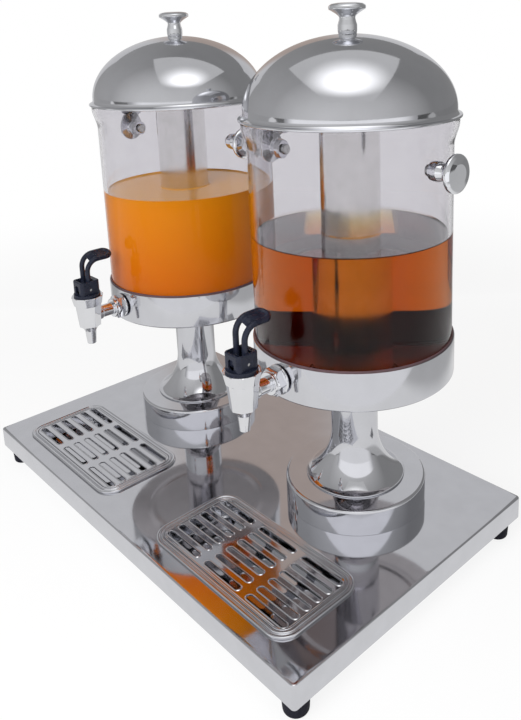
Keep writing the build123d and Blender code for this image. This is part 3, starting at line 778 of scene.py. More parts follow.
def grown(piece: Piece, voxel: float, softness: float = 0.5, passes: int = 8) -> Piece:
    """Melt a piece's overlapping shapes into one soft skin.

    Args:
        piece: the piece.
        voxel: the size of its new faces.
        softness: how far each pass moves a point towards its neighbours.
        passes: how often the skin is smoothed.

    Returns:
        The same piece with its new mesh.
    """
    remesh = piece.modifiers.new("melt", "REMESH")
    remesh.mode = "VOXEL"
    remesh.voxel_size = voxel
    smooth = piece.modifiers.new("soften", "SMOOTH")
    smooth.factor = softness
    smooth.iterations = passes
    shaped = piece.evaluated_get(bpy.context.evaluated_depsgraph_get())
    mesh = bpy.data.meshes.new_from_object(shaped)
    mesh.name = piece.name
    mesh.polygons.foreach_set("use_smooth", [True] * len(mesh.polygons))
    piece.modifiers.clear()
    piece.data = mesh
    return piece


def dress(piece: Piece, *finishes: Finish) -> Piece:
    """Give a new piece its finishes, after those that it has.

    Args:
        piece: the piece.
        finishes: the finishes, one for each of its next material numbers.

    Returns:
        The same piece.
    """
    for finish in finishes:
        piece.data.materials.append(material(finish))
    return piece


def dress_node(node: str, finish: Finish) -> None:
    """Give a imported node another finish.

    Args:
        node: the node's name.
        finish: its finish.
    """
    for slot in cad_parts[node].material_slots:
        slot.material = material(finish)
    LOG.info("%s keeps its shape, in %s", node, material(finish).name)


def settle(piece: Piece, body: str, slot: Slot | None, *nodes: str) -> None:
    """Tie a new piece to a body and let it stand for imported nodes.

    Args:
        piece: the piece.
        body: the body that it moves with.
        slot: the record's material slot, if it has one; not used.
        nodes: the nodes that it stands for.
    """
    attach(piece, body)
    if nodes:
        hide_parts(*nodes)
    LOG.info("%s rides on %s, for %s", piece.name, body, ", ".join(nodes) or "itself")


@dataclass
class BasePan:
    """The folded, polished sheet base with its drop-in holes for the trays."""

    sheet: float = 1.5 * MM
    corner: float = 4.0 * MM
    bend: float = 2.5 * MM
    inside_bend: float = 1.0 * MM
    hem: float = 1.2 * MM
    flange: float = 32.0 * MM
    tray_overhang: float = 5.5 * MM
    tray_corner: float = 20.0 * MM
    band: float = 1.0 * MM

    def build(self) -> None:
        """Make the pan from one skin inside and out."""
        box = Extent.of("base_pan")
        width, depth, _ = box.size
        maker = MeshMaker()

        def level(inset: float, z: float) -> Row:
            """Add a loop at an inset from the pan's outside, at a height."""
            radius = max(self.corner - inset, CRISP)
            return maker.row(rounded_rectangle(width - 2 * inset, depth - 2 * inset, radius, z))

        top, foot, under = box.high.z, box.low.z, box.high.z - self.sheet
        edge = self.bend + self.band
        outside = rounded([(self.flange, foot, 0), (0, foot, self.hem), (0, top, self.bend), (edge, top, 0)])
        inside = rounded([(edge, under, 0), (self.sheet, under, self.inside_bend),
                          (self.sheet, foot + self.sheet, FINE), (self.flange, foot + self.sheet, 0)])
        outer_rows = [level(*point) for point in outside]
        inner_rows = [level(*point) for point in inside]
        maker.loft(outer_rows)
        maker.loft(inner_rows)
        maker.skin(inner_rows[-1], outer_rows[0])
        upper, lower = [outer_rows[-1]], [inner_rows[0]]
        hole = self.tray_overhang
        for side in Side:
            tray = Extent.of(f"{side.value}_drip_tray")
            across, along, _ = tray.size
            rows = []
            for over, z in ((hole - self.band, top), (hole, top), (hole, under), (hole - self.band, under)):
                loop = rounded_rectangle(across - 2 * over, along - 2 * over, self.tray_corner - over, z)
                rows.append(maker.row(loop, tray.placing))
            maker.loft(rows)
            upper.append(rows[0])
            lower.append(rows[-1])
        maker.fill(upper)
        maker.fill(lower)
        settle(dress(maker.piece("base_pan_sheet"), SHEET_STEEL), "base", Slot.MIRROR_STEEL, "base_pan")


@dataclass
class RubberFeet:
    """The four rubber feet, rounded below."""

    radius: float = 12.5 * MM
    tread: float = 11.0 * MM
    rounding: float = 6.0 * MM
    recess: float = 4.8 * MM
    recess_height: float = 12.0 * MM
    segments: int = 48

    def build(self) -> None:
        """Make the feet as one group."""
        box = Extent.of("rubber_feet")
        top = box.high.z
        outline = rounded([(self.recess, self.recess_height, 0), (self.recess, 0, BROKEN),
                           (self.tread, 0, self.rounding), (self.radius, top, SOFT),
                           (self.recess, top, 0)], closed=True)
        maker = MeshMaker()
        for x in (box.low.x + self.radius, box.high.x - self.radius):
            for y in (box.low.y + self.radius, box.high.y - self.radius):
                maker.lathe(outline, self.segments, closed=True, place=Matrix.Translation((x, y, 0)))
        piece = dress(maker.piece("rubber_feet_moulded"), BLACK_RUBBER)
        settle(piece, "base", Slot.BLACK_RUBBER, "rubber_feet")
        dress_node("foot_screws", SCREW_STEEL)


@dataclass
class UnitPart(ABC):
    """A sub-assembly of one unit."""

    side: Side

    def node(self, name: str) -> str:
        """Return a node's full name."""
        return f"{self.side.value}_{name}"

    def extent(self, name: str) -> Extent:
        """Return a node's box."""
        return Extent.of(self.node(name))

    def axis(self) -> Matrix:
        """Return the placing of the unit's upright axis, at the table."""
        return self.extent("drum").placing

    def spout(self) -> Matrix:
        """Return the placing of the tap's upright axis, at the table."""
        return self.extent("tap_ring_nut").placing

    def redress(self, finish: Finish, *names: str) -> None:
        """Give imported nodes, named without the side, another finish."""
        for name in names:
            dress_node(self.node(name), finish)

    def fit(self, maker: MeshMaker, name: str, finish: Finish, body: str, slot: Slot, node: str,
            place: Matrix = Matrix(), sharp: float = SHARP_DEGREES) -> Piece:
        """Turn a mesh into a dressed piece that moves with a body and stands for a node.

        Args:
            maker: the mesh.
            name: the new piece's name, without the side.
            finish: its finish.
            body: the body that it moves with, without the side unless it is the base.
            slot: its material slot.
            node: the node that it stands for, without the side.
            place: where it goes.
            sharp: edges that turn by more than this many degrees stay sharp.

        Returns:
            The piece.
        """
        piece = dress(maker.piece(self.node(name), place, sharp), finish)
        settle(piece, body if body == "base" else self.node(body), slot, self.node(node))
        return piece

    def turned(self, name: str, corners: Sequence[Corner], finish: Finish, body: str, slot: Slot, node: str,
               steps: int = ROUND_STEPS) -> Piece:
        """Make a closed sheet or wall that is turned round the unit's axis.

        Args:
            name: the new piece's name, without the side.
            corners: the corners of its wall's closed outline, each with its rounding radius.
            finish: its finish.
            body: the body that it moves with, without the side unless it is the base.
            slot: its material slot.
            node: the node that it stands for, without the side.
            steps: how many steps each rounding is cut into.

        Returns:
            The piece.
        """
        maker = MeshMaker()
        maker.lathe(rounded(corners, True, steps), closed=True)
        return self.fit(maker, name, finish, body, slot, node, self.axis())

    @abstractmethod
    def build(self) -> None:
        """Make the sub-assembly's pieces."""


@dataclass
class Pedestal(UnitPart):
    """The drum, the trumpet bell on it and the bolt through both."""

    sheet: float = 1.5 * MM
    bore: float = 4.3 * MM
    drum_edge: float = 3.0 * MM
    drum_edge_steps: int = 8
    neck: float = 24.6 * MM
    flare_height: float = 50.0 * MM
    flare_steps: int = 40
    flare_steps_inside: int = 24
    foot_bead: float = 0.9 * MM
    foot_bead_roundness: float = 0.8

    def build(self) -> None:
        """Make drum and bell, and dress the bolt."""
        self.build_drum()
        self.build_bell()
        self.redress(SCREW_STEEL, "tie_bolt", "tie_nut")
        self.redress(BLACK_RUBBER, "bolt_seal")

    def build_drum(self) -> None:
        """Make the low drum."""
        box = self.extent("drum")
        foot, top, radius = box.low.z, box.high.z, box.radius
        inner, under = radius - self.sheet, top - self.sheet
        corners = [(self.bore, top, 0), (radius, top, self.drum_edge), (radius, foot, FINE),
                   (inner, foot, FINE), (inner, under, self.drum_edge - self.sheet), (self.bore, under, 0)]
        self.turned("drum_spun", corners, SPUN_STEEL, "base", Slot.MIRROR_STEEL, "drum", self.drum_edge_steps)

    def build_bell(self) -> None:
        """Make the trumpet-shaped bell."""
        box = self.extent("bell")
        foot, top, width = box.low.z, box.high.z, box.radius - self.neck
        under, bead_top = top - self.sheet, foot + 2 * self.foot_bead
        bead_round = self.foot_bead * self.foot_bead_roundness
        flare = (width**2 + self.flare_height**2) / (2 * width)
        centre = (self.neck + flare, foot + self.flare_height)
        turn = math.pi + math.asin((self.flare_height - 2 * self.foot_bead) / flare)
        outer = arc(centre, flare, math.pi, turn, self.flare_steps)[:-1]
        inside = arc(centre, flare, turn, math.pi, self.flare_steps_inside)
        inner = [(x - self.sheet, y, 0.0) for x, y, _ in inside]
        bead = [(box.radius - self.foot_bead, bead_top, BROKEN), (box.radius, bead_top, bead_round),
                (box.radius, foot, bead_round), (inner[0][0], foot, 0)]
        corners = [(self.bore, top, 0), (self.neck, top, BROKEN), *outer, *bead, *inner,
                   (self.neck - self.sheet, under, 0), (self.bore, under, 0)]
        self.turned("bell_spun", corners, SPUN_STEEL, "base", Slot.MIRROR_STEEL, "bell")


@dataclass
class Cup(UnitPart):
    """The polished cup and the black ring that stands above its rim."""

    sheet: float = 1.0 * MM
    bore: float = 4.3 * MM
    heel: float = 2.0 * MM
    rim: float = 0.45 * MM
    bead_inside: float = 67.0 * MM
    bead_outside: float = 82.0 * MM
    bead_depth: float = 1.6 * MM
    bead_steps: int = 20
    floor_slope: float = 0.9
    underside_slope: float = -0.5
    ring_floor: float = 1.5 * MM
    ring_width: float = 10.0 * MM
    ring_sink: float = 0.2 * MM
    ring_slack: float = 0.03 * MM

    def build(self) -> None:
        """Make the cup and its ring."""
        box = self.extent("cup")
        inner = box.radius - self.sheet
        self.build_cup(box, inner)
        self.build_ring(inner - self.ring_slack)

    def bead(self, foot: float) -> list[Corner]:
        """Return the shallow bead pressed into the underside.

        Args:
            foot: the underside's height.

        Returns:
            The outline's points.
        """
        width = self.bead_outside - self.bead_inside
        shares = [step / self.bead_steps for step in range(self.bead_steps + 1)]
        return [(self.bead_inside + width * share, foot - self.bead_depth * math.sin(math.pi * share)**2, 0)
                for share in shares]

    def build_cup(self, box: Extent, inner: float) -> None:
        """Make the cup, with a floor of rough steel painted light and an underside of steel painted darker as
        painted shade.

        Args:
            box: the cup's box.
            inner: its inside radius.
        """
        foot, top, radius = box.low.z, box.high.z, box.radius
        floor = foot + self.sheet
        corners = [(self.bore, foot, 0), *self.bead(foot), (radius, foot, self.heel), (radius, top, self.rim),
                   (inner, top, self.rim), (inner, floor, self.sheet), (self.bore, floor, 0)]
        cup = self.turned("cup_spun", corners, SPUN_STEEL, "base", Slot.MIRROR_STEEL, "cup")
        dress(cup, RAW_STEEL_PAINTED_LIGHT, UNDER_STEEL_PAINTED_SHADE)
        for face in cup.data.polygons:
            if face.center.z > foot + 2 * self.sheet:
                continue
            # Upward faces of the floor get the rough steel painted light.
            if face.normal.z > self.floor_slope:
                face.material_index = 1
            # Downward faces of the underside get the steel painted darker, as painted shade.
            elif face.normal.z < self.underside_slope:
                face.material_index = 2

    def build_ring(self, wall: float) -> None:
        """Make the black ring, in rubber painted lighter and reddish as painted light seen through the tea.

        Args:
            wall: its outside radius.
        """
        ring, shell = self.extent("gasket"), Container(self.side).radius
        foot, top, ledge = ring.low.z, ring.high.z, ring.low.z + self.ring_floor
        face, inside = shell - self.ring_sink, shell - self.ring_width
        corners = [(inside, foot, 0), (wall, foot, 0), (wall, top, SOFT), (face, top, SOFT), (face, ledge, 0),
                   (inside, ledge, 0)]
        self.turned("gasket_moulded", corners, GASKET_RUBBER_PAINTED_LIGHT, "base", Slot.BLACK_RUBBER, "gasket")


@dataclass
class Container(UnitPart):
    """The clear moulded container with a flared mouth."""

    wall: float = 4.0 * MM
    floor: float = 5.0 * MM
    flare: float = 5.0 * MM
    flare_height: float = 22.0 * MM
    flare_steps: int = 16
    rim_height: float = 5.0 * MM
    heel: float = 4.0 * MM
    boss_radius: float = 28.0 * MM
    boss_height: float = 6.0 * MM
    bolt_hole: float = 4.3 * MM
    ring_radius: float = 32.0 * MM
    ring_width: float = 2.4 * MM
    ring_height: float = 1.4 * MM

    @property
    def radius(self) -> float:
        """The straight wall's outside radius."""
        return self.extent("container").radius - self.flare

    @property
    def bore(self) -> float:
        """The straight wall's inside radius."""
        return self.radius - self.wall

    @property
    def floor_z(self) -> float:
        """The height of the floor inside."""
        return self.extent("container").low.z + self.floor

    def mouth(self, radius: float) -> list[Corner]:
        """Return the S-shaped flare of the mouth, from its foot up.

        Args:
            radius: the straight wall's radius.

        Returns:
            The flare's points.
        """
        top = self.extent("container").high.z - self.rim_height
        points = []
        for step in range(self.flare_steps + 1):
            share = step / self.flare_steps
            swell = share * share * (3 - 2 * share)
            points.append((radius + self.flare * swell, top - self.flare_height * (1 - share), 0.0))
        return points

    def build(self) -> None:
        """Make the container as one closed wall."""
        box = self.extent("container")
        foot, top, floor = box.low.z, box.high.z, self.floor_z
        ring, boss_top = self.ring_radius, floor + self.boss_height
        ring_outside, ring_top = ring + self.ring_width, floor + self.ring_height
        corners = [(self.bolt_hole, foot, 0), (self.radius, foot, self.heel), *self.mouth(self.radius),
                   (box.radius, top, FULL), (box.radius - self.wall, top, FULL), *self.mouth(self.bore)[::-1],
                   (self.bore, floor, self.heel / 2), (ring_outside, floor, EASED),
                   (ring_outside, ring_top, EASED), (ring, ring_top, EASED), (ring, floor, FINE),
                   (self.boss_radius, floor, BROKEN), (self.boss_radius, boss_top, SOFT),
                   (self.bolt_hole, boss_top, 0)]
        self.turned("container_moulded", corners, CLEAR_PLASTIC, "base", Slot.CLEAR_PLASTIC, "container")


@dataclass
class Drink(UnitPart):
    """The drink in a container, round the ice tube."""

    kind: DrinkKind
    surface_z: float
    wetting: float = 0.4 * MM
    rise: float = 1.7 * MM
    rise_width: float = 4.0 * MM
    rise_steps: int = 8
    surface_slope: float = 0.5
    sharp: float = 50.0
    tube_lift: float = 60.0 * MM

    def meniscus(self, wall: float, inward: int) -> list[Corner]:
        """Return the curve by which the surface climbs a wall.

        Args:
            wall: the wall's radius.
            inward: -1 where the drink lies inside the wall, 1 where it lies outside.

        Returns:
            The curve from the wall to the level surface.
        """
        points = []
        for step in range(self.rise_steps + 1):
            share = step / self.rise_steps
            points.append((wall + inward * share * self.rise_width,
                           self.surface_z + self.rise * (1 - share) ** 3, 0.0))
        return points

    def build(self) -> None:
        """Make the drink, with a core that is full below the raised tube's foot.

        The tea reaches down to the cup's sheet, so that its floor is seen through few surfaces.
        """
        container = Container(self.side)
        wall = container.bore + self.wetting
        floor = container.floor_z - self.wetting
        if self.kind is DrinkKind.TEA:
            floor = self.extent("cup").low.z + self.wetting
        boss = container.boss_radius - self.wetting
        boss_top = container.floor_z + container.boss_height - self.wetting
        hole = IceTube(self.side).mid_radius
        core_top = self.extent("ice_tube").low.z + self.tube_lift
        corners = [(0, boss_top, 0), (boss, boss_top, 0), (boss, floor, 0), (wall, floor, container.heel / 2),
                   *self.meniscus(wall, -1), *self.meniscus(hole, 1)[::-1],
                   (hole, core_top, 0), (0, core_top, 0)]
        maker = MeshMaker()
        maker.lathe(rounded(corners))
        piece = maker.piece(self.node(f"{self.kind.value}_fill"), self.axis(), self.sharp)
        if self.kind is DrinkKind.TEA:
            dress(piece, TEA)
        else:
            dress(piece, *self.juice())
            for face in piece.data.polygons:
                face.material_index = int(face.normal.z > self.surface_slope and face.center.z > core_top)
        settle(piece, "base", None)

    def juice(self) -> tuple[CloudyDrink, CloudyDrink]:
        """Return the juice's finishes at the wall and on its open surface."""
        foot, top = self.extent("container").low.z, self.surface_z
        # The first colour of each finish is painted shade, low in the juice.
        return (CloudyDrink("orange_juice", (0.66, 0.145, 0.003), (0.74, 0.26, 0.006), foot, top,
                            gloss=0.05, smooth=0.5, dull=0.7),
                CloudyDrink("orange_juice_surface", (0.9, 0.34, 0.02), (1.0, 0.46, 0.05), foot, top,
                            gloss=0.35, smooth=0.05, dull=0.12))


@dataclass
class IceTube(UnitPart):
    """The steel tube for ice, with a hemmed mouth and a raised floor."""

    wall: float = 1.2 * MM
    hem: float = 2.4 * MM
    hem_roundness: float = 0.45
    floor_rise: float = 14.3 * MM
    floor_sheet: float = 1.5 * MM

    @property
    def radius(self) -> float:
        """The tube's outside radius below its hem."""
        return self.extent("ice_tube").radius - self.hem / 2

    @property
    def mid_radius(self) -> float:
        """The middle of the tube's wall."""
        return self.radius - self.wall / 2

    def build(self) -> None:
        """Make the tube as one closed wall."""
        box = self.extent("ice_tube")
        foot, top, bore = box.low.z, box.high.z, self.radius - self.wall
        recess, hem_foot, hem_round = foot + self.floor_rise, top - self.hem, self.hem * self.hem_roundness
        floor = recess + self.floor_sheet
        corners = [(0, recess, 0), (bore, recess, FULL), (bore, foot, BROKEN), (self.radius, foot, BROKEN),
                   (self.radius, hem_foot, BROKEN), (box.radius, hem_foot, hem_round),
                   (box.radius, top, hem_round), (bore, top, BROKEN), (bore, floor, FULL), (0, floor, 0)]
        maker = MeshMaker()
        maker.lathe(rounded(corners))
        self.fit(maker, "ice_tube_drawn", TUBE_STEEL, "ice_tube", Slot.SATIN_STEEL, "ice_tube", self.axis())


@dataclass
class TurnedKnob:
    """The turned knob that lids and containers share.

    The profile gives the radius, height and rounding of each corner between its foot and its top.
    """

    head: float = 17.5 * MM
    height: float = 28.5 * MM
    foot: float = 8.7 * MM
    barrel: float = 9.15 * MM
    throat: float = 7.35 * MM
    profile: tuple[Corner, ...] = (
        (barrel, 3.0 * MM, 2.0 * MM), (barrel, 8.2 * MM, 3.0 * MM), (throat + 0.5 * MM, 12.6 * MM, 2.0 * MM),
        (throat, 15.6 * MM, 2.6 * MM), (throat + 3.6 * MM, 18.6 * MM, 4.0 * MM),
        (head - 2.2 * MM, 21.3 * MM, 1.4 * MM), (head, 22.5 * MM, 1.4 * MM), (head, 25.6 * MM, 1.8 * MM),
        (head - 2.6 * MM, 27.4 * MM, 2.4 * MM), (head - 8.5 * MM, height - 0.15 * MM, 6.0 * MM))
    segments: int = 96

    def build(self, part: UnitPart, node: str, body: str, sink: float, place: Matrix) -> None:
        """Make a knob in a node's place.

        Args:
            part: the sub-assembly that it belongs to.
            node: the node, without the side.
            body: the body that it moves with, without the side unless it is the base.
            sink: how far the foot reaches below the seat.
            place: the placing of its seat.
        """
        maker = MeshMaker()
        corners = [(0, -sink, 0), (self.foot, -sink, CRISP), *self.profile, (0, self.height, 0)]
        maker.lathe(rounded(corners), self.segments)
        part.fit(maker, f"{node}_turned", CHROME, body, Slot.CHROME, node, place)


@dataclass
class Lid(UnitPart):
    """The spun dome lid, which sweeps out in a cove to its thin lip, with its turned knob."""

    sheet: float = 1.2 * MM
    dome_radius: float = 102.5 * MM
    dome_rise: float = 71.0 * MM
    dome_steps: int = 48
    cove: float = 4.5 * MM
    cove_steps: int = 14
    cove_first: int = 4
    lip_edge: float = 2.3 * MM
    lip_wall: float = 2.0 * MM
    lip_drop: float = 0.8 * MM
    lip_round: float = 0.9 * MM
    flat_radius: float = 9.6 * MM
    hole: float = 3.3 * MM

    def dome(self, inset: float) -> list[Corner]:
        """Return the dome's curve, from its foot to the flat under the knob.

        Args:
            inset: how far it lies inside the outer skin.

        Returns:
            The curve's points.
        """
        foot = self.extent("lid").low.z + self.lip_edge + self.cove
        radius, rise = self.dome_radius - inset, self.dome_rise - inset
        last = math.acos(self.flat_radius / radius)
        turns = [last * step / self.dome_steps for step in range(self.dome_steps + 1)]
        return [(radius * math.cos(a), foot + rise * math.sin(a), 0.0) for a in turns]

    def build(self) -> None:
        """Make the lid and its knob."""
        box = self.extent("lid")
        foot, lip = box.low.z, box.radius
        lap, seat, lip_top = lip - self.lip_wall, foot + self.lip_drop, foot + self.lip_edge
        outer, inner = self.dome(0.0), self.dome(self.sheet)
        sweep = arc((lip, lip_top + self.cove), self.cove, -math.pi / 2, -math.pi, self.cove_steps)
        corners = [(lap, foot, FINE), (lip, foot, self.lip_round), (lip, lip_top, self.lip_round),
                   *sweep[self.cove_first:], *outer[1:], (self.hole, outer[-1][1], 0),
                   (self.hole, inner[-1][1], 0), *inner[:0:-1], (inner[0][0], seat, BROKEN),
                   (lap, seat, FINE)]
        self.turned("lid_spun", corners, SPUN_STEEL, "lid", Slot.MIRROR_STEEL, "lid")
        place = self.axis() @ Matrix.Translation((0, 0, self.extent("lid_knob").low.z))
        TurnedKnob().build(self, "lid_knob", "lid", 0.0, place)
        self.redress(SCREW_STEEL, "lid_knob_screw")


@dataclass
class SideKnobs(UnitPart):
    """The two turned knobs on a container's sides, by which it is lifted."""

    sink: float = 0.7 * MM

    def build(self) -> None:
        """Make both knobs and dress their screws."""
        knob = TurnedKnob()
        middle = self.axis().translation.x
        for name in ("outer_handle", "inner_handle"):
            box = self.extent(name)
            outward = 1 if box.centre.x > middle else -1
            seat = (box.high.x if outward > 0 else box.low.x) - outward * knob.height
            place = Matrix.Translation((seat, box.centre.y, box.centre.z))
            turn = Matrix.Rotation(outward * math.pi / 2, 4, "Y")
            knob.build(self, name, "base", self.sink, place @ turn)
        self.redress(SCREW_STEEL, "handle_screws")


@dataclass
class Tap(UnitPart):
    """The chrome tap with its ring, its nut on the shank and the spring in its chamber."""

    axis_z: float = 214.0 * MM
    body_radius: float = 15.4 * MM
    body_foot_radius: float = 12.8 * MM
    body_below: float = 12.0 * MM
    body_facets: int = 8
    body_segments: int = 160
    body_sharp: float = 18.0
    nozzle_shoulder: float = 2.5 * MM
    nozzle_root: float = 8.6 * MM
    nozzle_waist: float = 6.3 * MM
    nozzle_waist_drop: float = 18.7 * MM
    nozzle_waist_round: float = 1.2 * MM
    nozzle_tip: float = 5.0 * MM
    nozzle_bore: float = 3.2 * MM
    chamber: float = 9.0 * MM
    chamber_drop: float = 5.0 * MM
    seat_hole: float = 3.8 * MM
    seat_drop: float = 7.5 * MM
    outlet: float = 5.8 * MM
    outlet_drop: float = 13.8 * MM
    spring_wire: float = 0.6 * MM
    spring_wire_segments: int = 10
    spring_turns: int = 6
    spring_turn_steps: int = 24
    spring_kept: float = 0.91
    shank: float = 7.4 * MM
    shank_gap: float = 0.3 * MM
    shank_segments: int = 64
    collar: float = 1.3 * MM
    collar_slope: float = 1.6 * MM
    ring_radius: float = 18.2 * MM
    ring_foot_radius: float = 16.0 * MM
    ring_bevel: float = 0.9 * MM
    ring_facets: int = 10
    ring_segments: int = 200
    ring_sharp: float = 14.0
    ring_bore: float = 15.0 * MM
    ring_lip: float = 2.5 * MM
    ring_lip_height: float = 4.0 * MM
    nut_flats: float = 24.0 * MM
    nut_facets: int = 6
    nut_sharp: float = 20.0
    nut_chamfer: float = 1.2 * MM
    nut_flange: float = 14.5 * MM
    nut_flange_length: float = 2.2 * MM
    nut_flange_slope: float = 0.7 * MM
    nut_shoulder: float = 11.3 * MM
    nut_shoulder_length: float = 2.5 * MM
    nut_step: float = 0.01 * MM

    def build(self) -> None:
        """Make body, ring, nut, lever and spring, and dress what keeps its shape."""
        self.build_body()
        self.build_ring()
        self.build_nut()
        TapLever(self.side).build()
        self.build_spring()
        self.redress(BLACK_PLASTIC, "tap_bonnet")
        self.redress(SCREW_STEEL, "tap_lever_pin", "tap_stem")
        self.redress(BLACK_RUBBER, "tap_seal", "tap_gaskets")
        self.redress(CHROME, "tap_inner_nut")

    def build_body(self) -> None:
        """Make the faceted body with its nozzle, its chamber and the shank behind it."""
        box, ring = self.extent("tap_body"), self.extent("tap_ring_nut")
        place = self.spout()
        tip, head, foot = box.low.z, ring.low.z, self.axis_z - self.body_below
        flat = math.cos(math.pi / self.body_facets)
        foot_flat, head_flat = self.body_foot_radius * flat, self.body_radius * flat
        floor, seat = self.axis_z - self.chamber_drop, self.axis_z - self.seat_drop
        outlet_foot = self.axis_z - self.outlet_drop
        corners = [(self.nozzle_bore, tip, BROKEN), (self.nozzle_tip, tip, EASED),
                   (self.nozzle_waist, self.axis_z - self.nozzle_waist_drop, self.nozzle_waist_round),
                   (self.nozzle_root, foot - self.nozzle_shoulder, SOFT), (foot_flat - BROKEN, foot, BROKEN),
                   (self.body_foot_radius, foot + BROKEN, FINE), (self.body_radius, head, CRISP),
                   (self.chamber, head, 0), (self.chamber, floor, 0), (self.seat_hole, floor, 0),
                   (self.seat_hole, seat, 0), (self.outlet, seat, 0), (self.outlet, outlet_foot, 0),
                   (self.nozzle_bore, outlet_foot, 0)]
        facets = Facets(self.body_facets, (foot_flat, foot), (head_flat, head))
        maker = MeshMaker()
        outline = rounded(corners, closed=True)
        maker.lathe(outline, self.body_segments, closed=True, facets=facets, place=place)
        middle = place.translation
        back = Matrix.Translation((middle.x, middle.y, self.axis_z)) @ Matrix.Rotation(-math.pi / 2, 4, "X")
        length, collar = box.high.y - middle.y, self.shank + self.collar
        start = self.chamber + self.shank_gap
        shank = rounded([(0, start, 0), (collar, start, 0), (collar, head_flat, FULL),
                         (self.shank, head_flat + self.collar_slope, FULL), (self.shank, length, SOFT),
                         (0, length, 0)])
        maker.lathe(shank, self.shank_segments, place=back)
        self.fit(maker, "tap_body_cast", SOFT_CHROME, "base", Slot.CHROME, "tap_body", sharp=self.body_sharp)

    def build_ring(self) -> None:
        """Make the faceted ring that holds the bonnet."""
        box = self.extent("tap_ring_nut")
        foot, top, ledge = box.low.z, box.high.z, box.low.z + self.ring_lip_height
        lip, low, high = self.ring_bore - self.ring_lip, self.ring_foot_radius, self.ring_radius
        flat = math.cos(math.pi / self.ring_facets)
        outline = rounded([(lip, foot, 0), (low - BROKEN, foot, BROKEN), (low, foot + EASED, BROKEN),
                           (high, top - FULL, EASED), (high - self.ring_bevel, top, BROKEN),
                           (self.ring_bore, top, FINE), (self.ring_bore, ledge, 0), (lip, ledge, 0)],
                          closed=True)
        facets = Facets(self.ring_facets, (low * flat, foot), (high * flat, top))
        maker = MeshMaker()
        maker.lathe(outline, self.ring_segments, closed=True, facets=facets, place=self.spout())
        self.fit(maker, "tap_ring_nut_cast", SOFT_CHROME, "base", Slot.CHROME, "tap_ring_nut",
                 sharp=self.ring_sharp)

    def build_nut(self) -> None:
        """Make the flanged hexagon nut and its shoulder on the shank."""
        box = self.extent("tap_lock_nut")
        apothem = self.nut_flats / 2
        corner = apothem / math.cos(math.pi / self.nut_facets)
        length = box.high.y - box.low.y
        foot, head = self.nut_flange_length, length - self.nut_shoulder_length
        outline = rounded([(self.shank, 0, 0), (self.nut_flange, 0, BROKEN),
                           (self.nut_flange, foot - self.nut_flange_slope, SOFT),
                           (apothem + FULL, foot, CRISP), (corner, foot + self.nut_step, 0),
                           (corner, head - self.nut_chamfer, BROKEN),
                           (apothem, head, 0), (self.nut_shoulder, head + self.nut_step, FINE),
                           (self.nut_shoulder, length, FULL), (self.shank, length, FINE)], closed=True)
        facets = Facets(self.nut_facets, (apothem, foot), (apothem, head))
        place = Matrix.Translation((box.centre.x, box.high.y, box.centre.z))
        turn = Matrix.Rotation(math.pi / 2, 4, "X")
        maker = MeshMaker()
        maker.lathe(outline, closed=True, facets=facets)
        self.fit(maker, "tap_lock_nut_turned", CHROME, "base", Slot.CHROME, "tap_lock_nut", place @ turn,
                 self.nut_sharp)

    def build_spring(self) -> None:
        """Make the coil spring in the chamber."""
        box, wire = self.extent("tap_spring"), self.spring_wire
        radius, foot, top = box.radius - wire, box.low.z + wire, box.high.z - wire
        middle = self.spout().translation
        count = self.spring_turns * self.spring_turn_steps
        path = []
        for step in range(count + 1):
            angle = 2 * math.pi * step / self.spring_turn_steps
            rise = foot + (top - foot) * step / count
            path.append(middle + Vector((radius * math.cos(angle), radius * math.sin(angle), rise)))
        maker = MeshMaker()
        maker.tube(path, wire, self.spring_wire_segments)
        piece = self.fit(maker, "tap_spring_coiled", SCREW_STEEL, "base", Slot.SATIN_STEEL, "tap_spring")
        self.node("stem_press")
        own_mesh(piece)


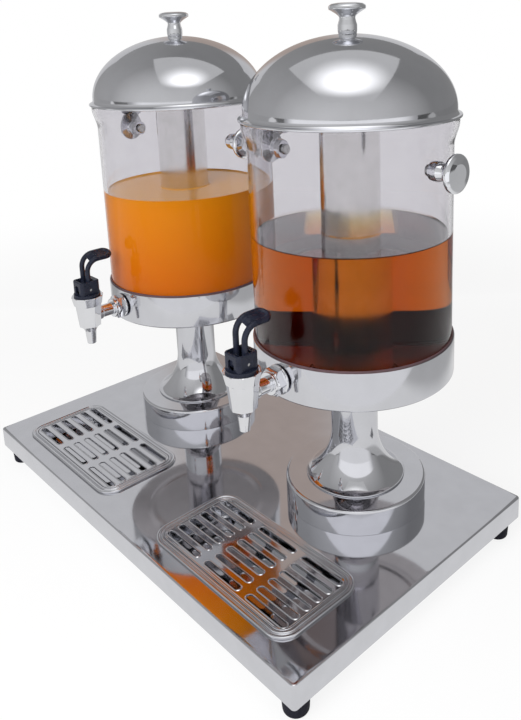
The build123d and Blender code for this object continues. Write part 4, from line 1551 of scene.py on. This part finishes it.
@dataclass
class TapLever(UnitPart):
    """The black lever: a looped rod with a thumb pad in its top and a hub on the pin."""

    pin_z: float = 247.5 * MM
    leg_radius: float = 2.9 * MM
    leg_spacing: float = 12.2 * MM
    leg_straight: float = 24.3 * MM
    straight_steps: int = 8
    leg_lean: float = 4.7 * MM
    leg_bend: float = 13.92 * MM
    bend_steps: int = 12
    leg_run: float = 11.14 * MM
    run_steps: int = 6
    tip_steps: int = 16
    pad_turn: float = math.radians(50)
    pad_thickness: float = 3.2 * MM
    pad_steps: int = 24
    pad_edge: float = 0.4
    pad_edge_rows: int = 4
    pad_tip: tuple[float, ...] = (0.25, 0.5, 0.7, 0.85, 0.95, 0.995)
    hub_radius: float = 6.0 * MM
    hub_offset: float = 3.5 * MM
    hub_segments: int = 48
    voxel: float = 0.5 * MM

    @property
    def across(self) -> Vector:
        """The way from the higher leg to the lower one."""
        return Vector((self.leg_spacing, 0, -self.leg_lean))

    def leg(self) -> list[Vector]:
        """Return the line of the higher leg, from the pin up, round the bend and along the run.

        Returns:
            The line's points.
        """
        spout = self.spout().translation
        foot = Vector((spout.x - self.leg_spacing / 2, spout.y, self.pin_z))
        leg = []
        for step in range(self.straight_steps):
            leg.append(foot + Vector((0, 0, self.leg_straight * step / self.straight_steps)))
        centre = foot + Vector((0, self.leg_bend, self.leg_straight))
        for step in range(self.bend_steps + 1):
            angle = math.pi - math.pi / 2 * step / self.bend_steps
            leg.append(centre + Vector((0, math.cos(angle), math.sin(angle))) * self.leg_bend)
        end = leg[-1]
        for step in range(1, self.run_steps + 1):
            leg.append(end + Vector((0, self.leg_run * step / self.run_steps, 0)))
        return leg

    def path(self) -> list[Vector]:
        """Return the loop of the rod, up one leg, round its end and down the other.

        Returns:
            The loop's points.
        """
        leg, across = self.leg(), self.across
        centre, outward = leg[-1] + across / 2, Vector((0, across.length / 2, 0))
        tip = []
        for step in range(1, self.tip_steps):
            angle = math.pi * step / self.tip_steps
            tip.append(centre - across / 2 * math.cos(angle) + outward * math.sin(angle))
        lower = [point + across for point in leg[self.straight_steps:]]
        straight = [Vector((point.x + across.x, point.y, max(point.z + across.z, self.pin_z)))
                    for point in leg[:self.straight_steps]]
        return [*leg, *tip, *lower[::-1], *straight[::-1]]

    def add_pad(self, maker: MeshMaker) -> None:
        """Add the thumb pad that fills the loop's top.

        Args:
            maker: the mesh that it goes into.
        """
        leg, across = self.leg(), self.across
        half = across.length / 2
        first = self.straight_steps + round(self.bend_steps * self.pad_turn / (math.pi / 2))
        middle = [point + across / 2 for point in leg[first:]]
        run_end, last = leg[-1].y, middle[-1]
        middle += [last + Vector((0, half * share, 0)) for share in self.pad_tip]
        turns = [2 * math.pi * turn / self.pad_steps for turn in range(self.pad_steps)]
        rows = []
        for index, point in enumerate(middle):
            ahead = middle[min(index + 1, len(middle) - 1)] - middle[max(index - 1, 0)]
            swell = min(1.0, self.pad_edge + index / self.pad_edge_rows)
            outward = across.cross(ahead).normalized() * self.pad_thickness / 2 * swell
            over = max(0.0, point.y - run_end)
            side = across.normalized() * math.sqrt(half**2 - over**2)
            rows.append(maker.row(point + side * math.cos(a) + outward * math.sin(a) for a in turns))
        maker.loft(rows)
        maker.fill([rows[0]])
        maker.fill([rows[-1]])

    def build(self) -> None:
        """Make the rod, its pad and the hub, grown into one."""
        maker = MeshMaker()
        maker.tube(self.path(), self.leg_radius)
        self.add_pad(maker)
        width = self.leg_spacing + 2 * self.leg_radius
        spout = self.spout().translation
        hub = Matrix.Translation((spout.x - width / 2, spout.y - self.hub_offset, self.pin_z))
        outline = rounded([(0, 0, 0), (self.hub_radius, 0, EASED), (self.hub_radius, width, EASED),
                           (0, width, 0)])
        maker.lathe(outline, self.hub_segments, place=hub @ Matrix.Rotation(math.pi / 2, 4, "Y"))
        piece = dress(grown(maker.piece(self.node("tap_lever_looped")), self.voxel), BLACK_PLASTIC)
        settle(piece, self.node("lever"), Slot.BLACK_PLASTIC, self.node("tap_lever"))


@dataclass
class DripTray(UnitPart):
    """The drop-in drip tray and its slotted grille."""

    corner: float = 20.0 * MM
    least_corner: float = 1.0 * MM
    corner_steps: int = 14
    overhang: float = 6.0 * MM
    sheet: float = 1.2 * MM
    ledge: float = 3.0 * MM
    rim_height: float = 2.5 * MM
    rim_land: float = 1.0 * MM
    rim_round: float = 0.9 * MM
    outer_bead: float = 2.8 * MM
    outer_bead_drop: float = 0.2 * MM
    outer_bead_round: float = 1.4 * MM
    outer_bead_fall: float = 1.3 * MM
    groove: float = 3.5 * MM
    groove_end: float = 4.4 * MM
    groove_depth: float = 1.4 * MM
    inner_bead: float = 5.0 * MM
    shelf_slack: float = 0.2 * MM
    pan_slope: float = 0.6 * MM
    pan_floor: float = 6.0 * MM
    pan_round: float = 2.4 * MM
    pan_round_outside: float = 3.0 * MM
    grille_slack: float = 0.5 * MM
    columns: int = 3
    rows: int = 6
    slot_length: float = 50.5 * MM
    slot_width: float = 6.5 * MM
    column_pitch: float = 61.3 * MM
    row_pitch: float = 13.55 * MM
    lip: float = 1.3 * MM
    lip_crest: float = 0.5 * MM
    lip_height: float = 0.5 * MM
    lip_steps: int = 4
    border: float = 2.6 * MM
    border_crest: float = 1.4 * MM
    fold_steps: int = 5
    band: float = 0.4 * MM

    def loops(self, maker: MeshMaker, profile: Sequence[Point]) -> list[Row]:
        """Add the loops of a profile that runs round the tray's outline.

        Args:
            maker: the mesh that they go into.
            profile: each loop's inset from the outline and its height.

        Returns:
            The loops.
        """
        width, depth, _ = self.extent("drip_tray").size
        rows = []
        for inset, z in profile:
            radius = max(self.corner - inset, self.least_corner)
            loop = rounded_rectangle(width - 2 * inset, depth - 2 * inset, radius, z, self.corner_steps)
            rows.append(maker.row(loop))
        return rows

    def build(self) -> None:
        """Make the tray and the grille."""
        self.build_tray()
        self.build_grille()

    def build_tray(self) -> None:
        """Make the tray with two beads round its rim."""
        box = self.extent("drip_tray")
        top, foot, floor = box.high.z, box.low.z, box.low.z + self.sheet
        plate, crest, groove = top - self.rim_height, top - self.outer_bead_drop, top - self.groove_depth
        shelf = self.extent("drip_grille").low.z - self.shelf_slack
        shelf_under = shelf - self.sheet
        pocket = self.overhang + self.sheet
        pan = pocket + self.ledge
        pan_outside = pan - self.sheet
        over = rounded([(0.0, plate, 0), (0.0, crest, self.outer_bead_round),
                        (self.outer_bead, crest, self.outer_bead_fall), (self.groove, groove, SOFT),
                        (self.groove_end, groove, SOFT), (self.inner_bead, top, self.rim_round),
                        (pocket, top, self.rim_round), (pocket, shelf, BROKEN), (pan, shelf, FULL),
                        (pan + self.pan_slope, floor, self.pan_round), (pan + self.pan_floor, floor, 0)],
                       steps=self.fold_steps)
        under = rounded([(pan + self.pan_floor, foot, 0),
                         (pan_outside + self.pan_slope, foot, self.pan_round_outside),
                         (pan_outside, shelf_under, SOFT), (self.overhang, shelf_under, BROKEN),
                         (self.overhang, plate, BROKEN), (self.rim_land, plate, 0)], steps=self.fold_steps)
        maker = MeshMaker()
        rows = self.loops(maker, [*over, *under])
        inner, outer = rows[:len(over)], rows[len(over):]
        maker.loft(inner)
        maker.loft(outer)
        maker.skin(outer[-1], inner[0])
        maker.fill([inner[-1]])
        maker.fill([outer[0]])
        self.fit(maker, "drip_tray_pressed", SHEET_STEEL, "tray", Slot.MIRROR_STEEL, "drip_tray", box.placing)

    def build_grille(self) -> None:
        """Make the grille with a rolled border and a lip round every slot."""
        box = self.extent("drip_grille")
        top, foot = box.high.z, box.low.z
        face = top - self.lip_height
        edge = self.overhang + self.sheet + self.grille_slack
        border_end = edge + self.border
        border = rounded([(edge, foot, 0), (edge, top, FULL), (edge + self.border_crest, top, FULL),
                          (border_end, face, SOFT), (border_end + self.band, face, 0)],
                         steps=self.fold_steps)
        maker = MeshMaker()
        rim = self.loops(maker, border)
        maker.loft(rim)
        upper, lower = [rim[-1]], [rim[0]]
        lip = rounded([(self.lip + self.band, face, 0), (self.lip, face, FINE), (self.lip_crest, top, EASED),
                       (0.0, top, EASED), (0.0, foot, 0)], steps=self.lip_steps)
        for column in range(self.columns):
            for row in range(self.rows):
                centre = ((column - (self.columns - 1) / 2) * self.column_pitch,
                          (row - (self.rows - 1) / 2) * self.row_pitch)
                slot = [maker.row(slot_loop(centre, self.slot_length + 2 * out, self.slot_width + 2 * out, z))
                        for out, z in lip]
                maker.loft(slot)
                upper.append(slot[0])
                lower.append(slot[-1])
        maker.fill(upper)
        maker.fill(lower)
        place = self.extent("drip_tray").placing
        self.fit(maker, "drip_grille_pressed", SHEET_STEEL, "grille", Slot.MIRROR_STEEL, "drip_grille", place)


@dataclass
class DispenserUnit:
    """One whole unit: pedestal, container, drink, lid, tap and tray."""

    side: Side
    drink: DrinkKind
    surface_z: float

    def build(self) -> None:
        """Make the unit's sub-assemblies from the base up."""
        parts: list[UnitPart] = [kind(self.side) for kind in (Pedestal, Cup, Container)]
        parts.append(Drink(self.side, self.drink, self.surface_z))
        parts += [kind(self.side) for kind in (IceTube, Lid, SideKnobs, Tap, DripTray)]
        for part in parts:
            part.build()


@dataclass(frozen=True)
class Card:
    """A card on a stand, which metal shows but the camera doesn't."""

    name: str
    distance: float
    foot: float
    head: float
    width: float
    glow: float
    middle_glow: float
    middle_colour: Colour = CARD_WHITE
    middle_width: float = 0.12
    blend: float = 0.4


@dataclass
class Studio:
    """A plain white floor, cards behind and in front, a softbox above, a soft lamp and a grey room.

    The sight is the level direction in which the camera looks.
    """

    sight: Vector
    floor_size: float = 40.0
    floor_paint: float = 0.95
    shadow_share: float = 0.16
    shadow_reach: Point = (0.6, 1.6)
    floor_light: float = 0.77
    floor_fade: float = 0.22
    floor_ahead: Point = (0.72, 0.98)
    floor_behind: Point = (-0.46, -0.26)
    floor_back_light: float = 0.4
    floor_aside: Point = (0.47, 0.63)
    floor_right_light: float = 0.6
    cards: tuple[Card, ...] = (
        Card("studio_back_card", 0.62, 0.0, 0.84, 1.08, 0.64, 0.45, (1.0, 0.84, 0.76)),
        Card("studio_front_card", -0.5, 0.2, 0.45, 2.2, 0.45, 1.05, middle_width=1.0, blend=1.0),
        Card("studio_low_card", -0.4, 0.04, 0.19, 1.7, 0.4, 0.86, middle_width=0.9, blend=0.8),
    )
    box_middle: Vector = Vector((0.316, -0.145, 0.96))
    box_width: float = 0.68
    box_depth: float = 1.04
    box_reach: float = 0.4
    box_edge: float = 0.6
    box_heart: float = 2.2
    room_level: float = 0.26
    room_front: float = 0.4
    room_left: float = 0.18
    lamp_power: float = 20.5
    lamp_size: float = 1.0
    lamp_reach: Corner = (0.6, 1.2, 0.7)
    lamp_target: Vector = Vector((0.0, 0.0, 0.3))

    @property
    def right(self) -> Vector:
        """The level direction to the camera's right."""
        return Vector((self.sight.y, -self.sight.x, 0))

    def build(self) -> None:
        """Make the studio round the camera's line of sight."""
        self.build_room()
        self.build_floor()
        for card in self.cards:
            self.build_card(card)
        self.build_softbox()
        self.build_lamp()

    def panel(self, name: str, middle: Vector, right: Vector, up: Vector, graph: Graph) -> Piece:
        """Make a flat stage panel.

        Args:
            name: its name.
            middle: its middle.
            right: half of it sideways.
            up: half of it upwards.
            graph: its material.

        Returns:
            The panel.
        """
        data = bpy.data.meshes.new(name)
        corners = [-right - up, right - up, right + up, -right + up]
        data.from_pydata(corners, [], [(0, 1, 2, 3)])
        data.materials.append(graph.owner)
        made = bpy.data.objects.new(name, data)
        bpy.context.scene.collection.objects.link(made)
        made.location = middle
        return made

    def hide(self, thing: Piece, *rays: str) -> None:
        """Keep a panel or lamp from the named kinds of rays."""
        for ray in rays:
            setattr(thing, f"visible_{ray}", False)

    def build_floor(self) -> None:
        """Make the white floor, which keeps a soft shadow and shows grey to metal far from the object."""
        graph = Graph.of_material("studio_floor")
        paint = {"Base Color": grey(self.floor_paint), "Roughness": 1.0, "Specular IOR Level": 0.0}
        graph.fill(graph.shader, paint)
        place = graph.place()
        nearness = graph.toward(place, -self.sight)
        behind = graph.step(nearness, self.floor_behind, (self.floor_back_light, self.floor_light))
        ahead = graph.step(nearness, self.floor_ahead, (1.0, self.floor_fade))
        aside = graph.step(graph.toward(place, self.right), self.floor_aside, (1.0, self.floor_right_light))
        mirrored = graph.calc("MULTIPLY", graph.calc("MULTIPLY", ahead, behind), aside)
        level = graph.calc("MAXIMUM", graph.seen("Camera", "Transmission"), mirrored)
        glow = graph.add("Emission", {"Color": grey(1.0), "Strength": level})
        share = graph.step(graph.length(place), self.shadow_reach, (1 - self.shadow_share, 1.0))
        share = graph.calc("MULTIPLY", graph.seen("Camera", "Glossy", "Transmission"), share)
        mixed = graph.add("MixShader", {0: share, 1: graph.shader.outputs[0], 2: glow.outputs[0]})
        graph.fill(graph.output, {"Surface": mixed.outputs[0]})
        half = self.floor_size / 2
        self.panel("studio_floor", Vector(), Vector((half, 0, 0)), Vector((0, half, 0)), graph)

    def build_card(self, card: Card) -> None:
        """Make a card, which the polished steel reflects.

        Args:
            card: the card.
        """
        graph = Graph.of_material(card.name)
        aside = graph.calc("ABSOLUTE", graph.toward(graph.place(), self.right))
        ends = (card.middle_width / 2, card.middle_width / 2 + card.blend / 2)
        strength = graph.step(aside, ends, (card.middle_glow, card.glow))
        colour = graph.tint(graph.step(aside, ends, (0.0, 1.0)), card.middle_colour, CARD_WHITE)
        shine = graph.add("Emission", {"Color": colour, "Strength": strength})
        graph.fill(graph.output, {"Surface": shine.outputs[0]})
        up = Vector((0, 0, (card.head - card.foot) / 2))
        middle = self.sight * card.distance + Vector((0, 0, card.foot)) + up
        made = self.panel(card.name, middle, self.right * card.width / 2, up, graph)
        self.hide(made, "camera", "transmission", "shadow")

    def build_softbox(self) -> None:
        """Make the overhead softbox, brightest at its heart."""
        graph = Graph.of_material("studio_softbox")
        fade = graph.step(graph.length(graph.place()), (0.0, self.box_reach), (self.box_heart, self.box_edge))
        glow = graph.add("Emission", {"Color": grey(1.0), "Strength": fade})
        graph.fill(graph.output, {"Surface": glow.outputs[0]})
        right, ahead = self.right * self.box_width / 2, self.sight * self.box_depth / 2
        self.hide(self.panel("studio_softbox", self.box_middle, right, ahead, graph), "camera", "shadow")

    def build_lamp(self) -> None:
        """Make the soft lamp in front on the left, which metal and glass don't show."""
        data = bpy.data.lights.new("studio_lamp", "AREA")
        data.energy = self.lamp_power
        data.size = self.lamp_size
        lamp = bpy.data.objects.new("studio_lamp", data)
        aside, ahead, above = self.lamp_reach
        lamp.location = self.lamp_target - self.right * aside - self.sight * ahead + Vector((0, 0, above))
        lamp.rotation_euler = (lamp.location - self.lamp_target).to_track_quat("Z", "Y").to_euler()
        self.hide(lamp, "camera", "glossy", "transmission")
        bpy.context.scene.collection.objects.link(lamp)

    def build_room(self) -> None:
        """Make the room: white to the camera, and grey to metal, lighter in front and on the left."""
        world = bpy.data.worlds.new("studio_room")
        bpy.context.scene.world = world
        graph = Graph(world)
        way = graph.add("TexCoord").outputs["Generated"]
        level: Socket | float = self.room_level
        for direction, gain in ((-self.sight, self.room_front), (-self.right, self.room_left)):
            facing = graph.calc("MAXIMUM", graph.toward(way, direction), 0.0)
            level = graph.calc("MULTIPLY_ADD", facing, gain, level)
        level = graph.calc("MAXIMUM", level, graph.seen("Camera", "Transmission"))
        graph.fill(graph.nodes["Background"], {"Color": grey(1.0), "Strength": level})


@dataclass
class PhotoCamera:
    """The photograph's camera, worked out from the object's own edges."""

    position: Vector = Vector((0.63134, -0.47425, 0.54072))
    yaw: float = math.radians(46.89)
    pitch: float = math.radians(13.07)
    roll: float = math.radians(-1.91)
    focal_pixels: float = 750.68
    centre_pixel: Point = (300.0, 195.0)
    image_pixels: Point = (521.0, 720.0)
    sensor: float = 36.0
    nearest: float = 0.01

    def level_sight(self) -> Vector:
        """Return the level direction in which the camera looks."""
        return Vector((-math.sin(self.yaw), math.cos(self.yaw), 0))

    def build(self) -> None:
        """Make the camera and set it as the scene's own."""
        sight = self.level_sight() * math.cos(self.pitch) - Vector((0, 0, math.sin(self.pitch)))
        right = sight.cross(Vector((0, 0, 1))).normalized()
        up = right.cross(sight)
        cos, sin = math.cos(self.roll), math.sin(self.roll)
        turned_right, turned_up = right * cos + up * sin, up * cos - right * sin
        width, height = self.image_pixels
        data = bpy.data.cameras.new("photo_camera")
        data.sensor_width = self.sensor
        data.lens = self.focal_pixels * self.sensor / height
        data.shift_x = (width / 2 - self.centre_pixel[0]) / height
        data.shift_y = (self.centre_pixel[1] - height / 2) / height
        data.clip_start = self.nearest
        camera = bpy.data.objects.new("photo_camera", data)
        turn = Matrix((turned_right, turned_up, -sight)).transposed().to_4x4()
        camera.matrix_world = Matrix.Translation(self.position) @ turn
        bpy.context.scene.collection.objects.link(camera)
        bpy.context.scene.camera = camera
        bpy.context.scene.view_settings.view_transform = "Standard"
        LOG.info("camera with a %.1f mm lens", data.lens)


def main() -> None:
    """Build the dispenser, its camera and its studio."""
    logging.basicConfig(level=logging.INFO, format="%(name)s: %(message)s")
    BasePan().build()
    RubberFeet().build()
    DispenserUnit(Side.LEFT, DrinkKind.ORANGE_JUICE, JUICE_LEVEL).build()
    DispenserUnit(Side.RIGHT, DrinkKind.TEA, TEA_LEVEL).build()
    camera = PhotoCamera()
    camera.build()
    Studio(camera.level_sight()).build()


if __name__ == "__main__":
    main()
